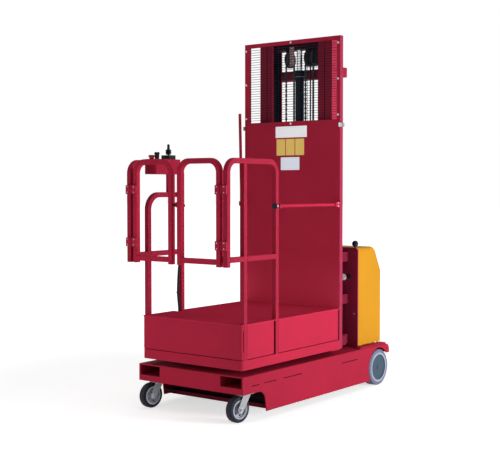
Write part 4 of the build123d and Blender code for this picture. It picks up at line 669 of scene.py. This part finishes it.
# Pleated boot on the joystick, as radius and height, and the round lobes of the key
BOOT = [(0.0146, 0.0175), (0.0149, 0.0222), (0.0150, 0.0230), (0.0183, 0.0249), (0.0172, 0.0265)]
BOOT += [(0.0188, 0.0282), (0.0172, 0.0299), (0.0188, 0.0316), (0.0172, 0.0333), (0.0188, 0.0350)]
BOOT += [(0.0170, 0.0370), (0.0145, 0.0382), (0.0135, 0.0382), (0.0135, 0.0175)]
LOBE_X = 0.0105
LOBE_Z = BOX_TOP + 0.034
LOBE_R = 0.0095
LOBE = 0.0075
LOBE_BEVEL = 0.0015
mesh = bmesh.new()
add_lathe(mesh, STICK, BOOT)
smooth(piece("stick_boot", mesh, "lever", looks["black_plastic"]), SOFT_ANGLE)
mesh = bmesh.new()
for x in (-LOBE_X, LOBE_X):
    add_disc(mesh, (KEY[0] + x, KEY[1], LOBE_Z), ALONG_Y, LOBE_R, LOBE, sides=32, bevel=LOBE_BEVEL)
smooth(piece("key_lobes", mesh, "key", looks["black_plastic"]))


# Lift chains: link plates in two staggered rows with pins between them
PITCH = 0.0159
CHAIN_WIDE = 0.0138
RESERVE_WIDE = 0.0124
LINK_TALL = 0.0132
LINK_DEEP = 0.0058
LINK_FILL = 0.98
PLATE_THICK = 0.0023
PIN_R = 0.0019
OUTER_SPOTS = (-0.5, 0, 0.5)
INNER_SPOTS = (-0.25, 0.25)
WRAP_LINKS = 9


def link_places(index, x, wide):
    """Where the plates of one link stand across the chain."""
    spots = OUTER_SPOTS if index % 2 == 0 else INNER_SPOTS
    return [x + spot * (wide - PLATE_THICK) for spot in spots]


def add_chain(mesh, x, y, low, high, wide):
    """Straight strand of leaf chain that hangs between two heights."""
    count = max(1, round((high - low) / PITCH))
    step = (high - low) / count
    thick = PLATE_THICK / 2
    deep = LINK_DEEP / 2
    tall = step * LINK_FILL / 2
    for index in range(count):
        z = low + (index + 0.5) * step
        for at in link_places(index, x, wide):
            add_block(mesh, (at - thick, y - deep, z - tall), (at + thick, y + deep, z + tall))
        add_disc(mesh, (x, y, z + step / 2), ALONG_X, PIN_R, wide, sides=8)


def chain_piece(name, body, side_y, low, high, wide):
    mesh = bmesh.new()
    for x in (-CHAIN_X, CHAIN_X):
        add_chain(mesh, x, MAST_MID_Y + side_y, low, high, wide)
    return piece(name, mesh, body, looks["chain_steel"])


chain_front = chain_piece("chain_front", "inner_mast", -CHAIN_Y, CHAIN_END_Z, SHEAVE_Z, CHAIN_WIDE)
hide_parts("chain_lift_runs")
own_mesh(chain_front)
chain_back = chain_piece("chain_back", "chassis", CHAIN_Y, LUG_TOP, SHEAVE_Z, CHAIN_WIDE)
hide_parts("chain_fixed_runs")
reserve_low = SHEAVE_Z - STROKE - PITCH / 2
chain_piece("chain_back_reserve", "inner_mast", CHAIN_Y, reserve_low, SHEAVE_Z, RESERVE_WIDE)


def add_wrap(mesh, x, radius, links):
    """Half turn of chain over the top of a sheave."""
    size = Matrix.Diagonal((PLATE_THICK, LINK_DEEP, LINK_TALL, 1))
    for index in range(links):
        angle = math.pi * (index + 0.5) / links
        y = MAST_MID_Y - radius * math.cos(angle)
        z = SHEAVE_Z + radius * math.sin(angle)
        turn = Matrix.Rotation(-angle, 4, "X")
        for at in link_places(index, x, CHAIN_WIDE):
            place = Matrix.Translation((at, y, z)) @ turn @ size
            bmesh.ops.create_cube(mesh, size=1.0, matrix=place)


mesh = bmesh.new()
for x in (-CHAIN_X, CHAIN_X):
    add_wrap(mesh, x, CHAIN_Y, WRAP_LINKS)
piece("chain_wraps", mesh, "inner_mast", looks["chain_steel"])


# Trailing cable: straight runs and the turn over its sheave
CABLE_R = 0.005
RESERVE_R = CABLE_R - 0.0004
RESERVE_EXTRA = 0.01
CABLE_SIDES = 16
WRAP_STEPS = 24


def cable_run(name, body, y, low, high, radius):
    mesh = bmesh.new()
    add_disc(mesh, (CABLE_X, y, (low + high) / 2), ALONG_Z, radius, high - low, sides=CABLE_SIDES)
    return smooth(piece(name, mesh, body, looks["cable_rubber"]))


cable_front = cable_run("cable_front", "inner_mast", MAST_MID_Y - CABLE_Y, CHAIN_END_Z, SHEAVE_Z, CABLE_R)
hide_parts("cable_lift_run")
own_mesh(cable_front)
cable_back = cable_run("cable_back", "chassis", MAST_MID_Y + CABLE_Y, LUG_TOP, SHEAVE_Z, CABLE_R)
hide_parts("cable_fixed_run")
reserve_low = SHEAVE_Z - STROKE - RESERVE_EXTRA
cable_run("cable_back_reserve", "inner_mast", MAST_MID_Y + CABLE_Y, reserve_low, SHEAVE_Z, RESERVE_R)

mesh = bmesh.new()
rings = []
for index in range(WRAP_STEPS + 1):
    angle = math.pi * index / WRAP_STEPS
    ring = []
    for spoke in range(CABLE_SIDES):
        around = 2 * math.pi * spoke / CABLE_SIDES
        reach = CABLE_Y + CABLE_R * math.cos(around)
        y = MAST_MID_Y - reach * math.cos(angle)
        z = SHEAVE_Z + reach * math.sin(angle)
        ring.append(mesh.verts.new((CABLE_X + CABLE_R * math.sin(around), y, z)))
    rings.append(ring)
join_loops(mesh, rings)
mesh.faces.new(rings[0])
mesh.faces.new(rings[-1])
bmesh.ops.recalc_face_normals(mesh, faces=mesh.faces)
smooth(piece("cable_wrap", mesh, "inner_mast", looks["cable_rubber"]))


# Floor: pale, and whiter with the distance where the camera, a mirror or glass sees it
FLOOR_HALF = 60.0
FLOOR_GREYS = (0.88, 0.92)
FLOOR_GRAIN = 0.8
GLOW_FROM = (1.6, 4.5)
GLOW_TO = (0.62, 1.0)


def seen_rays(tree, x, y):
    """1 for rays that come from the camera, a mirror or glass, else 0."""
    rays = node_at(tree, "ShaderNodeLightPath", x, y).outputs
    kinds = [rays["Is Camera Ray"], rays["Is Glossy Ray"], rays["Is Transmission Ray"]]
    return joined(tree, "MAXIMUM", kinds, x + 250, y)


floor_mesh = bmesh.new()
bmesh.ops.create_grid(floor_mesh, x_segments=1, y_segments=1, size=FLOOR_HALF)
floor_data = bpy.data.meshes.new("floor")
floor_mesh.to_mesh(floor_data)
floor_mesh.free()
floor = bpy.data.objects.new("floor", floor_data)
scene.collection.objects.link(floor)
floor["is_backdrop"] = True
floor_look = bpy.data.materials.new("floor_pale")
floor_look.use_nodes = True
tree = floor_look.node_tree
shader = tree.nodes["Principled BSDF"]
shader.inputs["Roughness"].default_value = 1.0
shader.inputs["Specular IOR Level"].default_value = 0.0
place = node_at(tree, "ShaderNodeTexCoord", -900, 0)
drift = node_at(tree, "ShaderNodeTexNoise", -700, 0)
drift.inputs["Scale"].default_value = FLOOR_GRAIN
tint = node_at(tree, "ShaderNodeValToRGB", -450, 0)
for element, grey in zip(tint.color_ramp.elements, FLOOR_GREYS):
    element.color = (grey, grey, grey, 1)
tree.links.new(place.outputs["Object"], drift.inputs["Vector"])
tree.links.new(drift.outputs["Fac"], tint.inputs["Fac"])
tree.links.new(tint.outputs["Color"], shader.inputs["Base Color"])
distance = node_at(tree, "ShaderNodeVectorMath", -700, -350)
distance.operation = "LENGTH"
glow = node_at(tree, "ShaderNodeMapRange", -450, -350)
glow.interpolation_type = "SMOOTHSTEP"
glow.inputs["From Min"].default_value = GLOW_FROM[0]
glow.inputs["From Max"].default_value = GLOW_FROM[1]
glow.inputs["To Min"].default_value = GLOW_TO[0]
glow.inputs["To Max"].default_value = GLOW_TO[1]
tree.links.new(place.outputs["Object"], distance.inputs[0])
tree.links.new(distance.outputs["Value"], glow.inputs["Value"])
shown = joined(tree, "MULTIPLY", [glow.outputs["Result"], seen_rays(tree, -900, -650)], -200, -450)
light = node_at(tree, "ShaderNodeEmission", 0, -300)
both = node_at(tree, "ShaderNodeAddShader", 200, -100)
tree.links.new(shown, light.inputs["Strength"])
tree.links.new(shader.outputs["BSDF"], both.inputs[0])
tree.links.new(light.outputs["Emission"], both.inputs[1])
tree.links.new(both.outputs["Shader"], tree.nodes["Material Output"].inputs["Surface"])
floor_data.materials.append(floor_look)


# World: soft light all round, seen as plain white
AMBIENT = 0.26
WHITE = (1, 1, 1, 1)
world = bpy.data.worlds.new("studio")
scene.world = world
world.use_nodes = True
tree = world.node_tree
tree.nodes.clear()
ambient = node_at(tree, "ShaderNodeBackground", -200, 150)
ambient.inputs["Color"].default_value = WHITE
ambient.inputs["Strength"].default_value = AMBIENT
seen = node_at(tree, "ShaderNodeBackground", -200, -50)
seen.inputs["Color"].default_value = WHITE
seen.inputs["Strength"].default_value = 1.0
choose = node_at(tree, "ShaderNodeMixShader", 50, 100)
out = node_at(tree, "ShaderNodeOutputWorld", 250, 100)
tree.links.new(seen_rays(tree, -900, 350), choose.inputs["Fac"])
tree.links.new(ambient.outputs["Background"], choose.inputs[1])
tree.links.new(seen.outputs["Background"], choose.inputs[2])
tree.links.new(choose.outputs["Shader"], out.inputs["Surface"])


# Lamps and camera


def lamp(name, place, target, power, size):
    light = bpy.data.lights.new(name, "AREA")
    light.energy = power
    light.shape = "DISK"
    light.size = size
    obj = bpy.data.objects.new(name, light)
    scene.collection.objects.link(obj)
    obj.location = place
    obj.rotation_mode = "QUATERNION"
    obj.rotation_quaternion = (Vector(target) - Vector(place)).to_track_quat("-Z", "Y")


lamp("key", (5.0, 1.3, 0.9), (0, 0, 0.9), 250.0, 2.0)
lamp("front_fill", (-0.6, -2.8, 0.25), (0, -0.8, 0.3), 17.0, 1.0)
lamp("top", (0, 0, 6.0), (0, 0, 0), 45.0, 3.0)

AZIMUTH = math.radians(37.396)
PITCH_DOWN = math.radians(2.083)
CAMERA_PLACE = (4.0079, -5.4158, 1.3764)
CAMERA_LENS = 73.52
back = Vector(
    (
        math.sin(AZIMUTH) * math.cos(PITCH_DOWN),
        -math.cos(AZIMUTH) * math.cos(PITCH_DOWN),
        math.sin(PITCH_DOWN),
    )
)
camera_data = bpy.data.cameras.new("camera")
camera_data.lens = CAMERA_LENS
camera_data.sensor_width = 36.0
camera = bpy.data.objects.new("camera", camera_data)
scene.collection.objects.link(camera)
camera.location = CAMERA_PLACE
camera.rotation_mode = "QUATERNION"
camera.rotation_quaternion = (-back).to_track_quat("-Z", "Y")
scene.camera = camera

scene.view_settings.view_transform = "Standard"

low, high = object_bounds()
